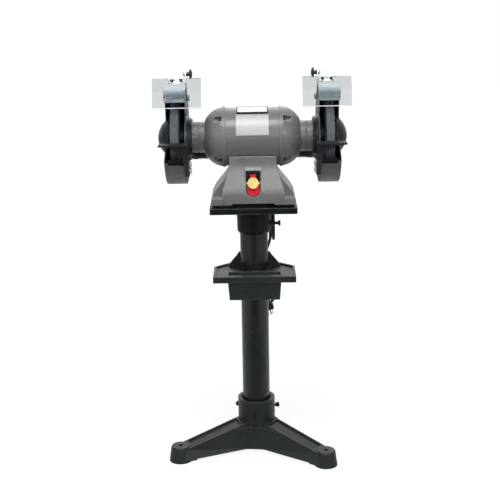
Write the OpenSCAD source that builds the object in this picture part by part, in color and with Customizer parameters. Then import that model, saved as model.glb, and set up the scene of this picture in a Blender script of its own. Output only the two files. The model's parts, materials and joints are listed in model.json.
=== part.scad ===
// Bench grinder on a pedestal stand.
// Millimetres. The origin is on the floor under the column, at the centre of the three anchor holes.
// +X is to the right of someone standing at the wheels, +Y is away from them, +Z is up.

/* [Stand] */
// Outside diameter of the column
column_d = 76; // [64:0.5:80]
// Wall of the column
column_wall = 5; // [3:0.5:8]
// Length of the column
column_l = 668; // [600:1:760]
// Circle through the three anchor holes
foot_circle_d = 466; // [420:1:540]
// Diameter of a foot at its top
foot_d = 52; // [46:1:60]
// Height of a foot
foot_h = 43; // [34:1:50]
// Diameter of an anchor hole
anchor_d = 13; // [9:0.5:18]
// Turn of the tripod about the column
base_turn = -6; // [-30:1:30]
// Outside diameter of the tripod's collar
collar_d = 104; // [98:0.5:112]
// Height of the collar's rim above the floor
collar_top = 148; // [130:1:170]
// Width across the collar's flared mouth
mouth_d = 84; // [82:0.5:90]
// Height of the ledge that the column stands on
socket_floor = 30; // [24:1:36]
// Height of a leg's top where it meets the collar
leg_rise = 82; // [70:1:92]
// Width of a leg's top at the collar
leg_w_collar = 56; // [46:1:64]
// Width of a leg's top at the foot
leg_w_foot = 48; // [38:1:54]
// Width of the top plate
plate_w = 231; // [224:1:260]
// Depth of the top plate
plate_d = 210; // [200:1:222]
// Thickness of the top plate
plate_t = 16; // [12:0.5:22]
// Outside diameter of the boss under the top plate
boss_d = 93; // [88:0.5:104]
// Depth of the boss under the top plate
boss_h = 70; // [50:1:80]
// Thread diameter of the stand's clamp screws
clamp_screw_d = 8; // [6:0.5:10]

/* [Tray] */
// Height of the tray's floor above the floor of the room
tray_z = 525; // [400:1:540]
// Width of the tray
tray_w = 222; // [200:1:250]
// Depth of the tray in front of the column's axis
tray_front = 105; // [102:1:125]
// Thickness of the tray's floor
tray_t = 13; // [8:0.5:16]
// Height of the tray's lip above its floor
tray_lip = 4; // [3:0.5:8]
// Thickness of the tray's lip
tray_wall = 7; // [5:0.5:9]
// Height of the tray's rear clamp above its floor
clamp_h = 45; // [36:1:56]
// Width of the water pot at its rim
pot_w = 156; // [130:1:165]
// Depth of the water pot from front to back
pot_d = 52; // [44:1:54]
// Height of the water pot
pot_h = 70; // [50:1:80]
// Wall of the water pot
pot_wall = 3; // [2:0.5:4]

/* [Grinder base] */
// Thickness of the rubber pads under the grinder
pad_t = 6; // [4:0.5:9]
// Height of the spindle above the underside of the grinder's base
spindle_rise = 170; // [166:0.5:176]
// Width of the base at its foot
base_w = 222; // [210:1:223]
// Depth of the base at its foot
base_d = 176; // [170:1:184]
// Width of the base's neck under the motor
base_neck_w = 122; // [112:1:128]
// Depth of the base's neck under the motor
base_neck_d = 142; // [140:1:148]
// Width of the front panel at its foot
panel_w = 164; // [150:1:172]
// Height of the base's foot flange
flange_h = 18; // [14:1:22]

/* [Motor] */
// Outside diameter of the motor barrel
barrel_d = 154; // [150:0.5:156]
// Length of the motor barrel
barrel_l = 144; // [136:1:150]
// Wall of the motor barrel
barrel_wall = 9; // [8:0.5:11]
// Diameter of the end bells' rim
ridge_d = 160; // [158:0.5:162]
// Length of an end bell from its rim to its nose
bell_l = 54; // [50:1:60]
// Diameter of the necks between motor and guards
neck_d = 82; // [80:0.5:86]
// Diameter of the shaft in its bearings
shaft_d = 25; // [20:0.5:28]
// Outside diameter of the bearings
bearing_d = 52; // [46:0.5:54]
// Width of the bearings
bearing_w = 15; // [12:0.5:16]

/* [Wheels] */
// Diameter of the grinding wheels
wheel_d = 203.2; // [190:0.1:206]
// Width of the grinding wheels
wheel_w = 20; // [19:0.5:26]
// Distance of each wheel's middle plane from the motor's centre
wheel_x = 203; // [200:0.5:206]
// Diameter of the arbor that carries the wheels
arbor_d = 16; // [12:0.5:20]
// Diameter of the wheel flanges
wheel_flange_d = 68; // [60:1:74]
// Thickness of a wheel flange
wheel_flange_t = 10; // [8:0.5:10]

/* [Guards] */
// Outside diameter of the wheel guards
guard_d = 248; // [244:0.5:256]
// Wall of the wheel guards
guard_wall = 4; // [3:0.5:6]
// Distance of a guard's inner wall from the motor's centre
guard_x = 175; // [173:0.5:177]
// Width of a guard with its cover
guard_w = 54.5; // [52:0.5:58]
// Thickness of a guard's cover
cover_t = 4; // [3:0.5:5]
// Depth of a cover's rim
cover_rim = 9; // [6:0.5:12]
// Radius of the round hub on both sides of a guard
hub_r = 59; // [58:0.5:62]
// Reach of a cover's dome beyond its flat face
dome_h = 22.5; // [20:0.5:24]
// Angle of the guard opening's upper edge above level
open_up = 78; // [74:1:84]
// Drop of the guard opening's lower edge below the spindle at the rim
open_down = 59; // [55:1:64]

/* [Rests and arresters] */
// Width of a tool rest
rest_w = 74.5; // [66:1:80]
// Depth of a tool rest
rest_d = 40; // [34:1:48]
// Thickness of a tool rest
rest_t = 5; // [4:0.5:6]
// Gap from a tool rest to its wheel
rest_gap = 3.2; // [2.5:0.1:5]
// Travel of a tool rest away from its wheel
rest_travel = 20; // [12:1:22]
// Gap from a spark arrester's lip to its wheel
arrester_gap = 6; // [5:0.5:8]
// Travel of a spark arrester away from its wheel
arrester_out = 12; // [8:1:14]
// Travel of a spark arrester toward its wheel
arrester_in = 4; // [2:0.5:4]
// Thickness of the sheet metal pieces
sheet_t = 2; // [1.5:0.1:3]

/* [Eye shields] */
// Width of an eye shield
shield_w = 125; // [110:1:130]
// Height of an eye shield
shield_h = 80; // [60:1:84]
// Thickness of an eye shield
shield_t = 3; // [2:0.5:4]
// Lean of an eye shield from upright
shield_lean = 25; // [15:1:32]
// Diameter of a clamp knob's head
knob_d = 25; // [20:0.5:28]
// Diameter of a clamp knob's threaded stem
stem_d = 6; // [5:0.5:8]

/* [Switch] */
// Width of the switch
switch_w = 38; // [36:0.5:40]
// Height of the switch
switch_h = 68; // [66:0.5:72]
// Width of the rocker
rocker_w = 33; // [30:0.5:33]
// Diameter of the safety key
key_d = 29; // [26:0.5:30]

/* [Dust hoses] */
// Outside diameter of a dust hose
hose_d = 54; // [50:0.5:54]
// Bore of a dust hose
hose_bore = 42; // [38:0.5:43]
// Number of ribs on a dust hose
hose_ribs = 10; // [6:1:14]
// Outside diameter of the dust outlet
outlet_d = 63.5; // [56:0.5:70]
// Bore of the dust outlet
outlet_bore = 57; // [50:0.5:60]

/* [Cord] */
// Diameter of the cord
cord_d = 8.4; // [7:0.1:9]
// Length of the strain relief
gland_l = 30; // [24:1:40]
// Length of the plug's body
plug_l = 32; // [28:1:40]

/* [Fits] */
// Clearance between still pieces that nest in each other
seat_gap = 0.3; // [0.2:0.05:0.4]
// Clearance between pieces that turn or slide on each other
run_gap = 0.05; // [0.03:0.01:0.1]

/* [Hidden] */
$fn = 72;
eps = 0.5;
far = 400;

// Colours
stand_black = [0.17, 0.19, 0.19];
casting_grey = [0.42, 0.42, 0.41];
guard_grey = [0.40, 0.42, 0.43];
zinc = [0.74, 0.79, 0.80];
steel = [0.62, 0.63, 0.65];
black = [0.08, 0.08, 0.09];
stone = [0.36, 0.40, 0.46];
red = [0.86, 0.08, 0.14];
yellow = [0.95, 0.83, 0.36];
white = [0.93, 0.93, 0.92];
clear = [0.85, 0.88, 0.90, 0.5];
copper = [0.72, 0.42, 0.22];
brass = [0.80, 0.68, 0.38];

// Heights of the stack from the floor up to the spindle
column_r = column_d / 2;
collar_r = collar_d / 2;
boss_r = boss_d / 2;
foot_r = foot_circle_d / 2;
plate_z = socket_floor + column_l;
plate_top = plate_z + plate_t;
base_z = plate_top + pad_t;
spindle_z = base_z + spindle_rise;
leg_angles = [90, 210, 330];

// Tripod legs
leg_draft = 9;
leg_under_collar = 9;
leg_under_foot = 8;
web_r = 200;
web_reach = 5;
web_half = 72;
toe_l = 7;
leg_start = collar_r - 20;
leg_wall = 8;
leg_rim = 4;
foot_draft = 6;
foot_ease = 4;
hub_flare = 3;
boss_ease = 6;
channel_depth = 5;
leg_slope = (foot_h - 3 - leg_rise) / (foot_r - foot_d / 2 + 12 - collar_r);
function leg_top(u) = leg_rise + leg_slope * (u - collar_r);
function leg_share(u) = (u - collar_r) / (foot_r - collar_r);
function leg_half(u) = (leg_w_collar + (leg_w_foot - leg_w_collar) * leg_share(u)) / 2;
function leg_under(u) = leg_under_collar + (leg_under_foot - leg_under_collar) * leg_share(u);
mouth_depth = 10;
set_screw_z = collar_top - 38;
plate_screw_z = plate_z - boss_h / 2 - 11;
screw_head_af = 1.63 * clamp_screw_d;
screw_head_h = 0.8 * clamp_screw_d;

// Tray outline, and the pot that drops through its floor
tray_side_back = 8;
tray_rear_half = 56;
tray_rear = 62;
clamp_ring = 9;
clamp_bore_r = column_r + seat_gap;
clamp_r = clamp_bore_r + clamp_ring;
clamp_edge = 2.5;
ear_half = tray_rear_half + 16;
clamp_slit = 4;
lug_t = 9;
lug_reach = 20;
clamp_bolt_d = 8;
pot_rim = 5;
pot_taper = 5;
pot_y = -tray_front + tray_wall + pot_rim + 1 + pot_d / 2;
pot_top = tray_z + tray_lip - 1;

// Grinder base: its sides flare down from the neck to the foot on one smooth curve
flare_top = spindle_z - 60;
flare_low = base_z + flange_h + 4;
base_top = spindle_z - 44;
corner_pocket = 21;
side_drop = 10;
arch_half = 56;
arch_h = 4;
cavity_wall = 12;
base_bolt_x = 82;
base_bolt_y = 58;
base_bolt_d = 10;
function smooth(t) = let (c = min(1, max(0, t))) c * c * (3 - 2 * c);
function flare(z, neck, foot, drop) =
    neck + (foot - neck) * smooth((flare_top - drop - z) / (flare_top - flare_low));

// Switch, in the front of the base
switch_z = base_z + 22;
switch_mid = switch_z + switch_h / 2;
bezel_y = -80;
bezel_wall = 1.6;
switch_front = bezel_y + 1.2;
switch_depth = 34;
rocker_back = switch_front + 3;
rocker_front = switch_front - 7;
rocker_z = switch_z + 34;
rocker_pocket = 12;
rocker_pin_d = 4;
key_z = rocker_z + 3;
key_t = 5;
key_pin_d = 4;
key_pin_l = 7;

// Motor
barrel_r = barrel_d / 2;
ridge_r = ridge_d / 2;
neck_r = neck_d / 2;
bell_x = barrel_l / 2;
bell_rim_l = 8;
bell_end = bell_x + bell_l;
bell_a = bell_l + 8;
bell_b = ridge_r - 1.7;
bell_shell = 7;
nose_end = bell_end + 16;
neck_seam = 1.2;
spigot_l = 6;
bearing_x = bell_end - 14;
screw_r = 3;
screw_head_r = 5;
screw_head_l = 6;
screw_l = 20;
bell_screw_r = barrel_r - barrel_wall / 2;
bell_screw_angles = [45, 135, 225, 315];
pocket_r = 9;
pocket_l = 22;
function bell_r(x) = bell_b * sqrt(1 - pow((x - bell_x - 4) / bell_a, 2));
rotor_r = 41.4;
rotor_l = 74;
stator_l = 70;
air_gap = 0.6;
shoulder_x = wheel_x - wheel_w / 2 - wheel_flange_t;
nut_l = 13;
nut_af = 24;
shaft_end = wheel_x + wheel_w / 2 + wheel_flange_t + nut_l + 3;
name_w = 82;
name_h = 33;
name_angle = 22;
name_rise = 4;
rating_half = name_w / 2 + 2;
rating_from = 35;
rating_to = 81;

// Guards, drawn on the right and mirrored to the left
guard_r = guard_d / 2;
cover_x = guard_x + guard_w - cover_rim;
guard_end = guard_x + guard_w;
hub_x = guard_end + dome_h - hub_r;
guard_bore_r = 30;
seat_x = guard_x - 5;
guard_screw_r = (neck_r + guard_bore_r) / 2;
cover_boss_r = 6;
cover_boss_circle = guard_r - guard_wall - cover_boss_r + 1;
cover_boss_angles = [85, 22, 308, 280];
guard_ease = 3;
open_inner_y = -18;
open_inner_z = 46.5;
cover_edge_y = -72;
cover_edge_z = -24;
lip_band_t = 3.5;
lip_band_top = -44;
hose_clear = 31;
chute_y = base_neck_d / 2 + hose_clear;
chute_z = -48;
chute_r = hose_d / 2 + 2;
chute_wall = 5;
stub_r = hose_d / 2 - 2.5;
stub_l = 18;

// Tool rests
rest_front = -(wheel_d / 2 + rest_gap + rest_d);
rest_back = -(wheel_d / 2 + rest_gap);
rest_top = -1.5;
rest_leg_t = 8.5;
rest_leg_x = guard_x - seat_gap - rest_leg_t;
rest_bolt_y = -60;
rest_bolt_zs = [-63, -81];
rest_bolt_d = 8;
gusset_t = 6;
gusset_w = 52;
gusset_h = 46;
rest_fold = 3;
gusset_edge = [[1, 0], [0.81, 0.13], [0.6, 0.28], [0.42, 0.47], [0.31, 0.64], [0.24, 0.84], [0.22, 1]];
gusset_y = rest_front + 14;

// Spark arresters and what is bolted with them
arrester_rise = 13;
arrester_from = 48;
arrester_to = 84;
arrester_lip = 68;
arrester_flare = 6;
arrester_x = guard_x - seat_gap - sheet_t;
arrester_w = guard_end - 3 - arrester_x;
slide_angle = 62;
arm_bolt_y = -8;
arm_bolt_z = guard_r - 19;
arm_bolt_d = 8;
arm_x = arrester_x - seat_gap - sheet_t;
arm_w = 16;

// Eye shields: each turns about the knob at the top of its arm
pivot_y = -62;
pivot_z = guard_r + 47;
shield_y = pivot_y - 22;
shield_z = pivot_z - 10;
shield_mid_x = 192;
bracket_x = arm_x - seat_gap - sheet_t;
bracket_w = 44;
bracket_h = 15;
bracket_low = -12.7;
shield_hole_z = bracket_low + bracket_h / 2;
shield_screw_gap = 22.8;
shield_screw_d = 5;
knob_head_l = 7.5;
knob_neck_l = 8;
knob_hub_r = 5.2;
weld_nut_l = 3.5;
stem_end = arm_x + sheet_t + weld_nut_l + 0.5;

// Hoses and manifold behind the motor
hose_x0 = bell_x - 8;
hose_x1 = seat_x - 2;
cuff_l = 18;
tee_half = hose_x0 - 2;
outlet_y = chute_y + 58;
lug_pad_y = base_d / 2 - 4;
lug_plate_t = 6;
lug_half = 22;
lug_z = spindle_z - 108;
lug_drop = 9;
lug_top = spindle_z + chute_z - 22;

// Cord route: out of the strain relief, down into a folded hank, then a curl down to the plug
gland_x = 56;
gland_z = base_z + 13;
gland_y = base_d / 2;
hank_x = 52.5;
hank_y = 201;
hank_z = 645;
hank_loops = 3;
hank_step = 9.2;
hank_layer = 4.7;
hank_waist = 8;
hank_end_r = 25.5;
hank_waist_r = 48;
tie_gap = 0.45;
tie_t = 1.5;
tie_h = 9;
lead_points = [[56, 118, 733], [56, 127, 733], [56, 137, 730.5], [56.2, 147, 724.5], [56.6, 155, 715]];
tail_points = [
    [48, 159, 582], [46.5, 159, 570], [42.5, 158.5, 557], [37.5, 158, 543], [34.5, 157, 529],
    [33.5, 156, 514], [35.5, 155, 497], [40.5, 154, 479], [47.5, 153, 461], [54, 152, 443],
    [58, 152, 427], [59.5, 152, 411],
    [57.5, 152, 397], [51, 152, 385], [40, 152, 377], [26, 152, 373.8], [11, 151.5, 374], [-4, 149.5, 376.5],
    [-21, 146, 382.3], [-33.5, 142.5, 395], [-38, 139, 412], [-33.2, 136, 431], [-20, 133, 444.2],
    [-2, 131, 449], [16, 130, 444.2], [29.2, 129, 431], [34, 128, 413], [35, 128, 398]
];
plug_lean = 14;
plug_w = 26;
plug_t = 22;
blade_l = 17;
blade_gap = 12.7;

// Moves a right-hand piece to its own side: side 1 is right, side -1 is left
module on_side(side) {
    if (side > 0) children();
    else mirror([1, 0, 0]) children();
}

// An outline in Y and Z, measured from the spindle, extruded along X
module along_x(x0, x1) {
    translate([x0, 0, spindle_z]) rotate([90, 0, 90]) linear_extrude(x1 - x0) children();
}

// An outline in X and Z, measured from the floor, extruded along Y
module along_y(y0, y1) {
    translate([0, y1, 0]) rotate([90, 0, 0]) linear_extrude(y1 - y0) children();
}

// A round bar along X, measured from the spindle
module bar_x(x0, x1, r, y = 0, z = 0) {
    translate([x0, y, spindle_z + z]) rotate([0, 90, 0]) cylinder(h = x1 - x0, r = r);
}

// A hexagon along X across flats af, measured from the spindle
module hex_x(x0, x1, af, y = 0, z = 0) {
    translate([x0, y, spindle_z + z]) rotate([0, 90, 0]) cylinder(h = x1 - x0, r = af / sqrt(3), $fn = 6);
}

// A solid turned about the spindle from points of [distance along X, radius]
module turned_x(points) {
    translate([0, 0, spindle_z]) rotate([0, 90, 0]) rotate_extrude() polygon([for (p = points) [p[1], p[0]]]);
}

// A block with four upright round corners, centred in X and Y
module round_block(w, d, h, r) {
    cube_at([w - 2 * r, d, h]);
    cube_at([w, d - 2 * r, h]);
    for (x = [-1, 1], y = [-1, 1])
        translate([x * (w / 2 - r), y * (d / 2 - r), 0]) cylinder(h = h, r = r);
}

// A block centred in X and Y, standing on Z = 0
module cube_at(size) {
    translate([-size[0] / 2, -size[1] / 2, 0]) cube(size);
}

// A tapered bar between two upright sections [distance, half top, half bottom, top, bottom]
module taper_bar(a, b) {
    function corners(s) = [[s[0], -s[2], s[4]], [s[0], s[2], s[4]], [s[0], s[1], s[3]], [s[0], -s[1], s[3]]];
    polyhedron(
        concat(corners(a), corners(b)),
        [[0, 1, 2], [0, 2, 3], [4, 7, 6], [4, 6, 5], [0, 4, 5], [0, 5, 1],
         [1, 5, 6], [1, 6, 2], [2, 6, 7], [2, 7, 3], [0, 3, 7], [0, 7, 4]]);
}

// A hexagon-headed clamp screw along +X, with its tip at x0 and its head from x1
module clamp_screw(x0, x1) {
    translate([x0, 0, 0]) rotate([0, 90, 0]) cylinder(h = x1 - x0 + eps, d = clamp_screw_d);
    translate([x1, 0, 0]) rotate([0, 90, 0]) cylinder(h = screw_head_h, r = screw_head_af / sqrt(3), $fn = 6);
}

// A socket-headed casing screw along X: the head sits on x0 and the shank runs back to x0 - l
module casing_screw(x0, l, y, z) {
    difference() {
        union() {
            bar_x(x0 - l, x0 + eps, screw_r, y, z);
            bar_x(x0, x0 + screw_head_l, screw_head_r, y, z);
        }
        hex_x(x0 + screw_head_l / 2, x0 + screw_head_l + eps, screw_r * 1.7, y, z);
    }
}

// Unit helpers for the cord
function unit(v) = v / norm(v);
function tangents(p) = [for (i = [0 : len(p) - 1]) unit(p[min(i + 1, len(p) - 1)] - p[max(i - 1, 0)])];
function across(n, t) = unit(n - t * (n * t));
function normals(t, n) = [
    for (i = 0, m = across(n, t[0]); i < len(t); i = i + 1, m = i < len(t) ? across(m, t[i]) : m) m
];

// A tube of one polyhedron swept along a path
module tube(path, d, sides, start = [1, 0, 0]) {
    t = tangents(path);
    n = normals(t, start);
    rings = [for (i = [0 : len(path) - 1], k = [0 : sides - 1])
        path[i] + d / 2 * (n[i] * cos(360 * k / sides) + cross(t[i], n[i]) * sin(360 * k / sides))];
    last = (len(path) - 1) * sides;
    walls = [for (i = [0 : len(path) - 2], k = [0 : sides - 1], f = [0, 1])
        let (a = i * sides + k, b = i * sides + (k + 1) % sides)
        f == 0 ? [a, a + sides, b] : [b, a + sides, b + sides]];
    ends = [for (k = [1 : sides - 2], f = [0, 1]) f == 0 ? [0, k, k + 1] : [last, last + k + 1, last + k]];
    polyhedron(rings, concat(walls, ends));
}

// Stand

module leg() {
    u0 = leg_start;
    u1 = foot_r;
    taper_bar(
        [u0, leg_half(u0), leg_half(u0) + leg_draft, leg_top(u0), leg_under(u0)],
        [u1, leg_half(u1), leg_half(u1) + leg_draft, leg_top(u1), leg_under(u1)]);
    translate([foot_r, 0, 0]) {
        cylinder(h = foot_h - foot_ease, d1 = foot_d + 2 * foot_draft, d2 = foot_d + 1);
        translate([0, 0, foot_h - foot_ease - eps])
            cylinder(h = foot_ease + eps, d1 = foot_d + 1, d2 = foot_d - foot_ease);
        translate([-foot_d / 2 - foot_draft - toe_l, -leg_half(u1), 0])
            cube([foot_d / 2, 2 * leg_half(u1), leg_under_foot + 6]);
    }
}

// A curved web that fills the corner between two legs, centred on X
module leg_web() {
    mid = collar_r + web_reach + web_r;
    edge = foot_r / 2;
    intersection() {
        translate([0, 0, leg_under_collar + 0.5]) linear_extrude(leg_rise)
            polygon(concat([[0, 0]], [for (i = [-9 : 9]) let (y = web_half * i / 9)
                [mid - sqrt(web_r * web_r - y * y), y]]));
        rotate_extrude()
            polygon([[0, 0], [0, leg_top(0) - leg_rim], [edge, leg_top(edge) - leg_rim], [edge, 0]]);
    }
}

module leg_cuts() {
    c0 = collar_r + leg_rim;
    c1 = foot_r - foot_d / 2 - 2;
    taper_bar(
        [c0, leg_half(c0) - leg_rim, leg_half(c0) - leg_rim,
         leg_top(c0) + eps, leg_top(c0) - channel_depth],
        [c1, leg_half(c1) - leg_rim, leg_half(c1) - leg_rim,
         leg_top(c1) + eps, leg_top(c1) - channel_depth]);
    h0 = collar_r + 8;
    h1 = foot_r - foot_d / 2 - foot_draft - toe_l - 4;
    taper_bar(
        [h0, leg_half(h0) - leg_wall, leg_half(h0), leg_top(h0) - channel_depth - leg_wall, -eps],
        [h1, leg_half(h1) - leg_wall, leg_half(h1), leg_top(h1) - channel_depth - leg_wall, -eps]);
    translate([foot_r, 0, -eps]) cylinder(h = foot_h + 2 * eps, d = anchor_d);
}

module stand_base() {
    color(stand_black) difference() {
        union() {
            translate([0, 0, leg_under_collar]) cylinder(h = collar_top - leg_under_collar, r = collar_r);
            translate([0, 0, leg_under_collar])
                cylinder(h = leg_rise - leg_under_collar, r1 = collar_r + hub_flare, r2 = collar_r);
            for (a = leg_angles) rotate(a + base_turn) leg();
            for (a = leg_angles) rotate(a + 60 + base_turn) leg_web();
        }
        for (a = leg_angles) rotate(a + base_turn) leg_cuts();
        translate([0, 0, socket_floor]) cylinder(h = collar_top, r = column_r + seat_gap);
        translate([0, 0, -eps]) cylinder(h = socket_floor + 2 * eps, r = column_r - column_wall);
        translate([0, 0, collar_top - mouth_depth])
            cylinder(h = mouth_depth + eps, r1 = column_r + seat_gap, r2 = mouth_d / 2);
        for (a = leg_angles) rotate(a + 180 + base_turn) translate([column_r, 0, set_screw_z])
            rotate([0, 90, 0]) cylinder(h = far, d = clamp_screw_d + 2 * run_gap);
    }
}

module stand_column() {
    color(stand_black) translate([0, 0, socket_floor]) difference() {
        cylinder(h = column_l, r = column_r);
        translate([0, 0, -eps]) cylinder(h = column_l + 2 * eps, r = column_r - column_wall);
    }
}

module base_set_screws() {
    color(black) for (a = leg_angles) rotate(a + 180 + base_turn) translate([0, 0, set_screw_z])
        clamp_screw(column_r + run_gap, collar_r + 11);
}

module top_plate() {
    color(stand_black) difference() {
        union() {
            translate([0, 0, plate_z]) round_block(plate_w, plate_d, plate_t, 6);
            translate([0, 0, plate_z - boss_h + boss_ease])
                cylinder(h = boss_h - boss_ease + eps, r1 = boss_r - 1.5, r2 = boss_r);
            translate([0, 0, plate_z - boss_h])
                cylinder(h = boss_ease + eps, r1 = boss_r - boss_ease, r2 = boss_r - 1.5);
        }
        translate([0, 0, plate_z - boss_h - eps]) cylinder(h = boss_h + eps, r = column_r + seat_gap);
        for (a = [0, 90]) rotate(a) translate([column_r, 0, plate_screw_z])
            rotate([0, 90, 0]) cylinder(h = far, d = clamp_screw_d + 2 * run_gap);
        for (x = [-1, 1], y = [-1, 1]) translate([x * base_bolt_x, y * base_bolt_y, plate_z - eps])
            cylinder(h = plate_t + 2 * eps, d = base_bolt_d + 1);
    }
}

module plate_set_screws() {
    color(black) for (a = [0, 90]) rotate(a) translate([0, 0, plate_screw_z]) {
        clamp_screw(column_r + run_gap, boss_r + 20);
        translate([boss_r + 1, 0, 0]) rotate([0, 90, 0]) difference() {
            cylinder(h = screw_head_h, r = screw_head_af / sqrt(3), $fn = 6);
            translate([0, 0, -eps]) cylinder(h = screw_head_h + 2 * eps, d = clamp_screw_d + 2 * run_gap);
        }
    }
}

// Tray and water pot

function tray_outline(inset) = let (
        w = tray_w / 2 - inset, f = -tray_front + inset, s = tray_side_back - inset * 0.4,
        r = tray_rear - inset, h = tray_rear_half - inset * 0.5)
    [[-w, f], [w, f], [w, s], [h, r], [-h, r], [-w, s]];

module tool_tray() {
    color(stand_black) difference() {
        union() {
            translate([0, 0, tray_z - tray_t]) linear_extrude(tray_t + tray_lip) difference() {
                polygon(tray_outline(0));
                polygon(tray_outline(tray_wall));
            }
            translate([0, 0, tray_z - tray_t]) linear_extrude(tray_t) polygon(tray_outline(0));
            translate([0, 0, tray_z - tray_t]) intersection() {
                union() {
                    cylinder(h = clamp_h * 0.7 + tray_t, r = clamp_r);
                    translate([0, 0, clamp_h * 0.7 + tray_t - eps])
                        cylinder(h = clamp_h * 0.3 + eps, r1 = clamp_r, r2 = clamp_bore_r + clamp_edge);
                }
                translate([-far / 2, column_r * 0.15, 0]) cube(far);
            }
            for (x = [clamp_slit / 2, -clamp_slit / 2 - lug_t]) translate([x, column_r, tray_z - tray_t])
                cube([lug_t, clamp_ring + lug_reach, clamp_h + tray_t]);
            for (side = [-1, 1]) on_side(side) along_y(column_r * 0.5, column_r * 0.5 + 8)
                polygon([[clamp_bore_r, tray_z - tray_t], [ear_half, tray_z - tray_t],
                         [ear_half, tray_z + tray_lip], [ear_half - 11, tray_z + clamp_h * 0.4],
                         [clamp_bore_r + clamp_edge + 7, tray_z + clamp_h * 0.74],
                         [clamp_bore_r + clamp_edge, tray_z + clamp_h]]);
        }
        translate([0, 0, tray_z - tray_t - eps]) cylinder(h = clamp_h + tray_t + 2 * eps, r = clamp_bore_r);
        translate([-clamp_slit / 2, column_r * 0.5, tray_z - tray_t - eps])
            cube([clamp_slit, far, clamp_h + tray_t + 2 * eps]);
        translate([0, pot_y, tray_z - tray_t - eps])
            cube_at([pot_w - 2 * pot_rim + 2, pot_d - 2 * pot_rim + 2, tray_t + 2 * eps]);
        translate([-far / 2, column_r + clamp_ring + lug_reach / 2, tray_z + clamp_h / 2])
            rotate([0, 90, 0]) cylinder(h = far, d = clamp_bolt_d + 2 * run_gap);
    }
}

module tray_clamp_bolt() {
    y = column_r + clamp_ring + lug_reach / 2;
    z = tray_z + clamp_h / 2;
    grip = clamp_slit / 2 + lug_t;
    af = 1.63 * clamp_bolt_d;
    head = 0.8 * clamp_bolt_d;
    color(black) translate([0, y, z]) rotate([0, 90, 0]) {
        translate([0, 0, -grip]) cylinder(h = 2 * grip + head + 3, d = clamp_bolt_d);
        translate([0, 0, -grip - head]) cylinder(h = head, r = af / sqrt(3), $fn = 6);
        translate([0, 0, grip]) difference() {
            cylinder(h = head, r = af / sqrt(3), $fn = 6);
            translate([0, 0, -eps]) cylinder(h = head + 2 * eps, d = clamp_bolt_d + 2 * run_gap);
        }
    }
}

// The pot's outline narrowed by inset, from height z0 to z1
module pot_body(inset, z0, z1) {
    function narrow(z) = pot_rim + inset + pot_taper * (pot_top - z) / pot_h;
    function half_y(z) = pot_d / 2 - narrow(z);
    function half_x(z) = pot_w / 2 - narrow(z);
    rotate([0, -90, 0]) taper_bar(
        [z0, half_y(z0), half_y(z0), half_x(z0), -half_x(z0)],
        [z1, half_y(z1), half_y(z1), half_x(z1), -half_x(z1)]);
}

module water_pot() {
    color(stand_black) translate([0, pot_y, 0]) difference() {
        union() {
            pot_body(0, pot_top - pot_h, pot_top);
            translate([0, 0, tray_z]) round_block(pot_w, pot_d, pot_wall, 3);
        }
        pot_body(pot_wall, pot_top - pot_h + pot_wall, pot_top + eps);
    }
}

// Grinder base

// Half of a flared outline; drop lowers the curve
function half_outline(neck, foot, drop) = [for (i = [0 : 12])
    let (z = flare_low + (flare_top - flare_low) * i / 12) [flare(z, neck, foot, drop), z]];

function flared_outline(neck, foot, drop = 0) = let (h = half_outline(neck, foot, drop), n = len(h)) concat(
    [[foot, base_z]], h, [[neck, base_top]], [[-neck, base_top]],
    [for (i = [n - 1 : -1 : 0]) [-h[i][0], h[i][1]]], [[-foot, base_z]]);

module flared_body(half_neck, half_foot, d, drop = 0) {
    intersection() {
        along_y(-d, d) polygon(flared_outline(half_neck, half_foot, drop));
        translate([-far / 2, 0, 0]) rotate([90, 0, 90]) linear_extrude(far)
            polygon(flared_outline(base_neck_d / 2, base_d / 2));
    }
}

module switch_shape(w, h) {
    translate([-w / 2, switch_z + (switch_h - h) / 2 + w / 2]) square([w, h - w / 2]);
    translate([0, switch_z + (switch_h - h) / 2 + w / 2]) circle(w / 2);
}

module bezel() {
    w = switch_w + 2 * bezel_wall + 2;
    intersection() {
        along_y(-base_d / 2, 0) switch_shape(w, switch_h + 2 * bezel_wall + 12);
        translate([-far / 2, 0, 0]) rotate([90, 0, 90]) linear_extrude(far)
            polygon([[bezel_y, base_z], [bezel_y, switch_z + switch_h + 2],
                     [-base_neck_d / 2 + 1, switch_z + switch_h + 12],
                     [0, switch_z + switch_h + 12], [0, base_z]]);
    }
}

module grinder_base() {
    color(casting_grey) difference() {
        union() {
            translate([0, 0, base_z]) round_block(base_w, base_d, flange_h, 5);
            flared_body(base_neck_w / 2, panel_w / 2, base_d / 2);
            flared_body(base_neck_w / 2, base_w / 2 - 1, base_d / 2 - corner_pocket, side_drop);
            bezel();
            translate([0, lug_pad_y / 2, lug_z - 20]) cube_at([2 * lug_half + 4, lug_pad_y, 42]);
        }
        bar_x(-far / 2, far / 2, barrel_r + seat_gap);
        for (x = [-1, 1]) on_side(x) bar_x(bell_x - seat_gap, far, ridge_r + seat_gap);
        translate([0, 0, base_z - eps]) cube_at([base_neck_w - 2 * cavity_wall, base_neck_d - 2 * cavity_wall,
                                                 spindle_z - base_z - barrel_r - 14]);
        translate([0, 0, base_z - eps]) cube_at([2 * arch_half, far, arch_h + eps]);
        along_y(-far, switch_front + switch_depth + 1)
            switch_shape(switch_w + 2 * seat_gap, switch_h + 2 * seat_gap);
        for (x = [-1, 1], y = [-1, 1]) translate([x * base_bolt_x, y * base_bolt_y, base_z - eps])
            cylinder(h = flange_h, d = base_bolt_d + 2 * run_gap);
        translate([gland_x, 0, gland_z]) rotate([-90, 0, 0]) cylinder(h = far, d = cord_d + 8 + 2 * seat_gap);
        for (x = [-1, 1]) translate([x * lug_half * 0.6, lug_pad_y - screw_l, lug_z])
            rotate([-90, 0, 0]) cylinder(h = far, r = screw_r + run_gap);
    }
}

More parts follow.
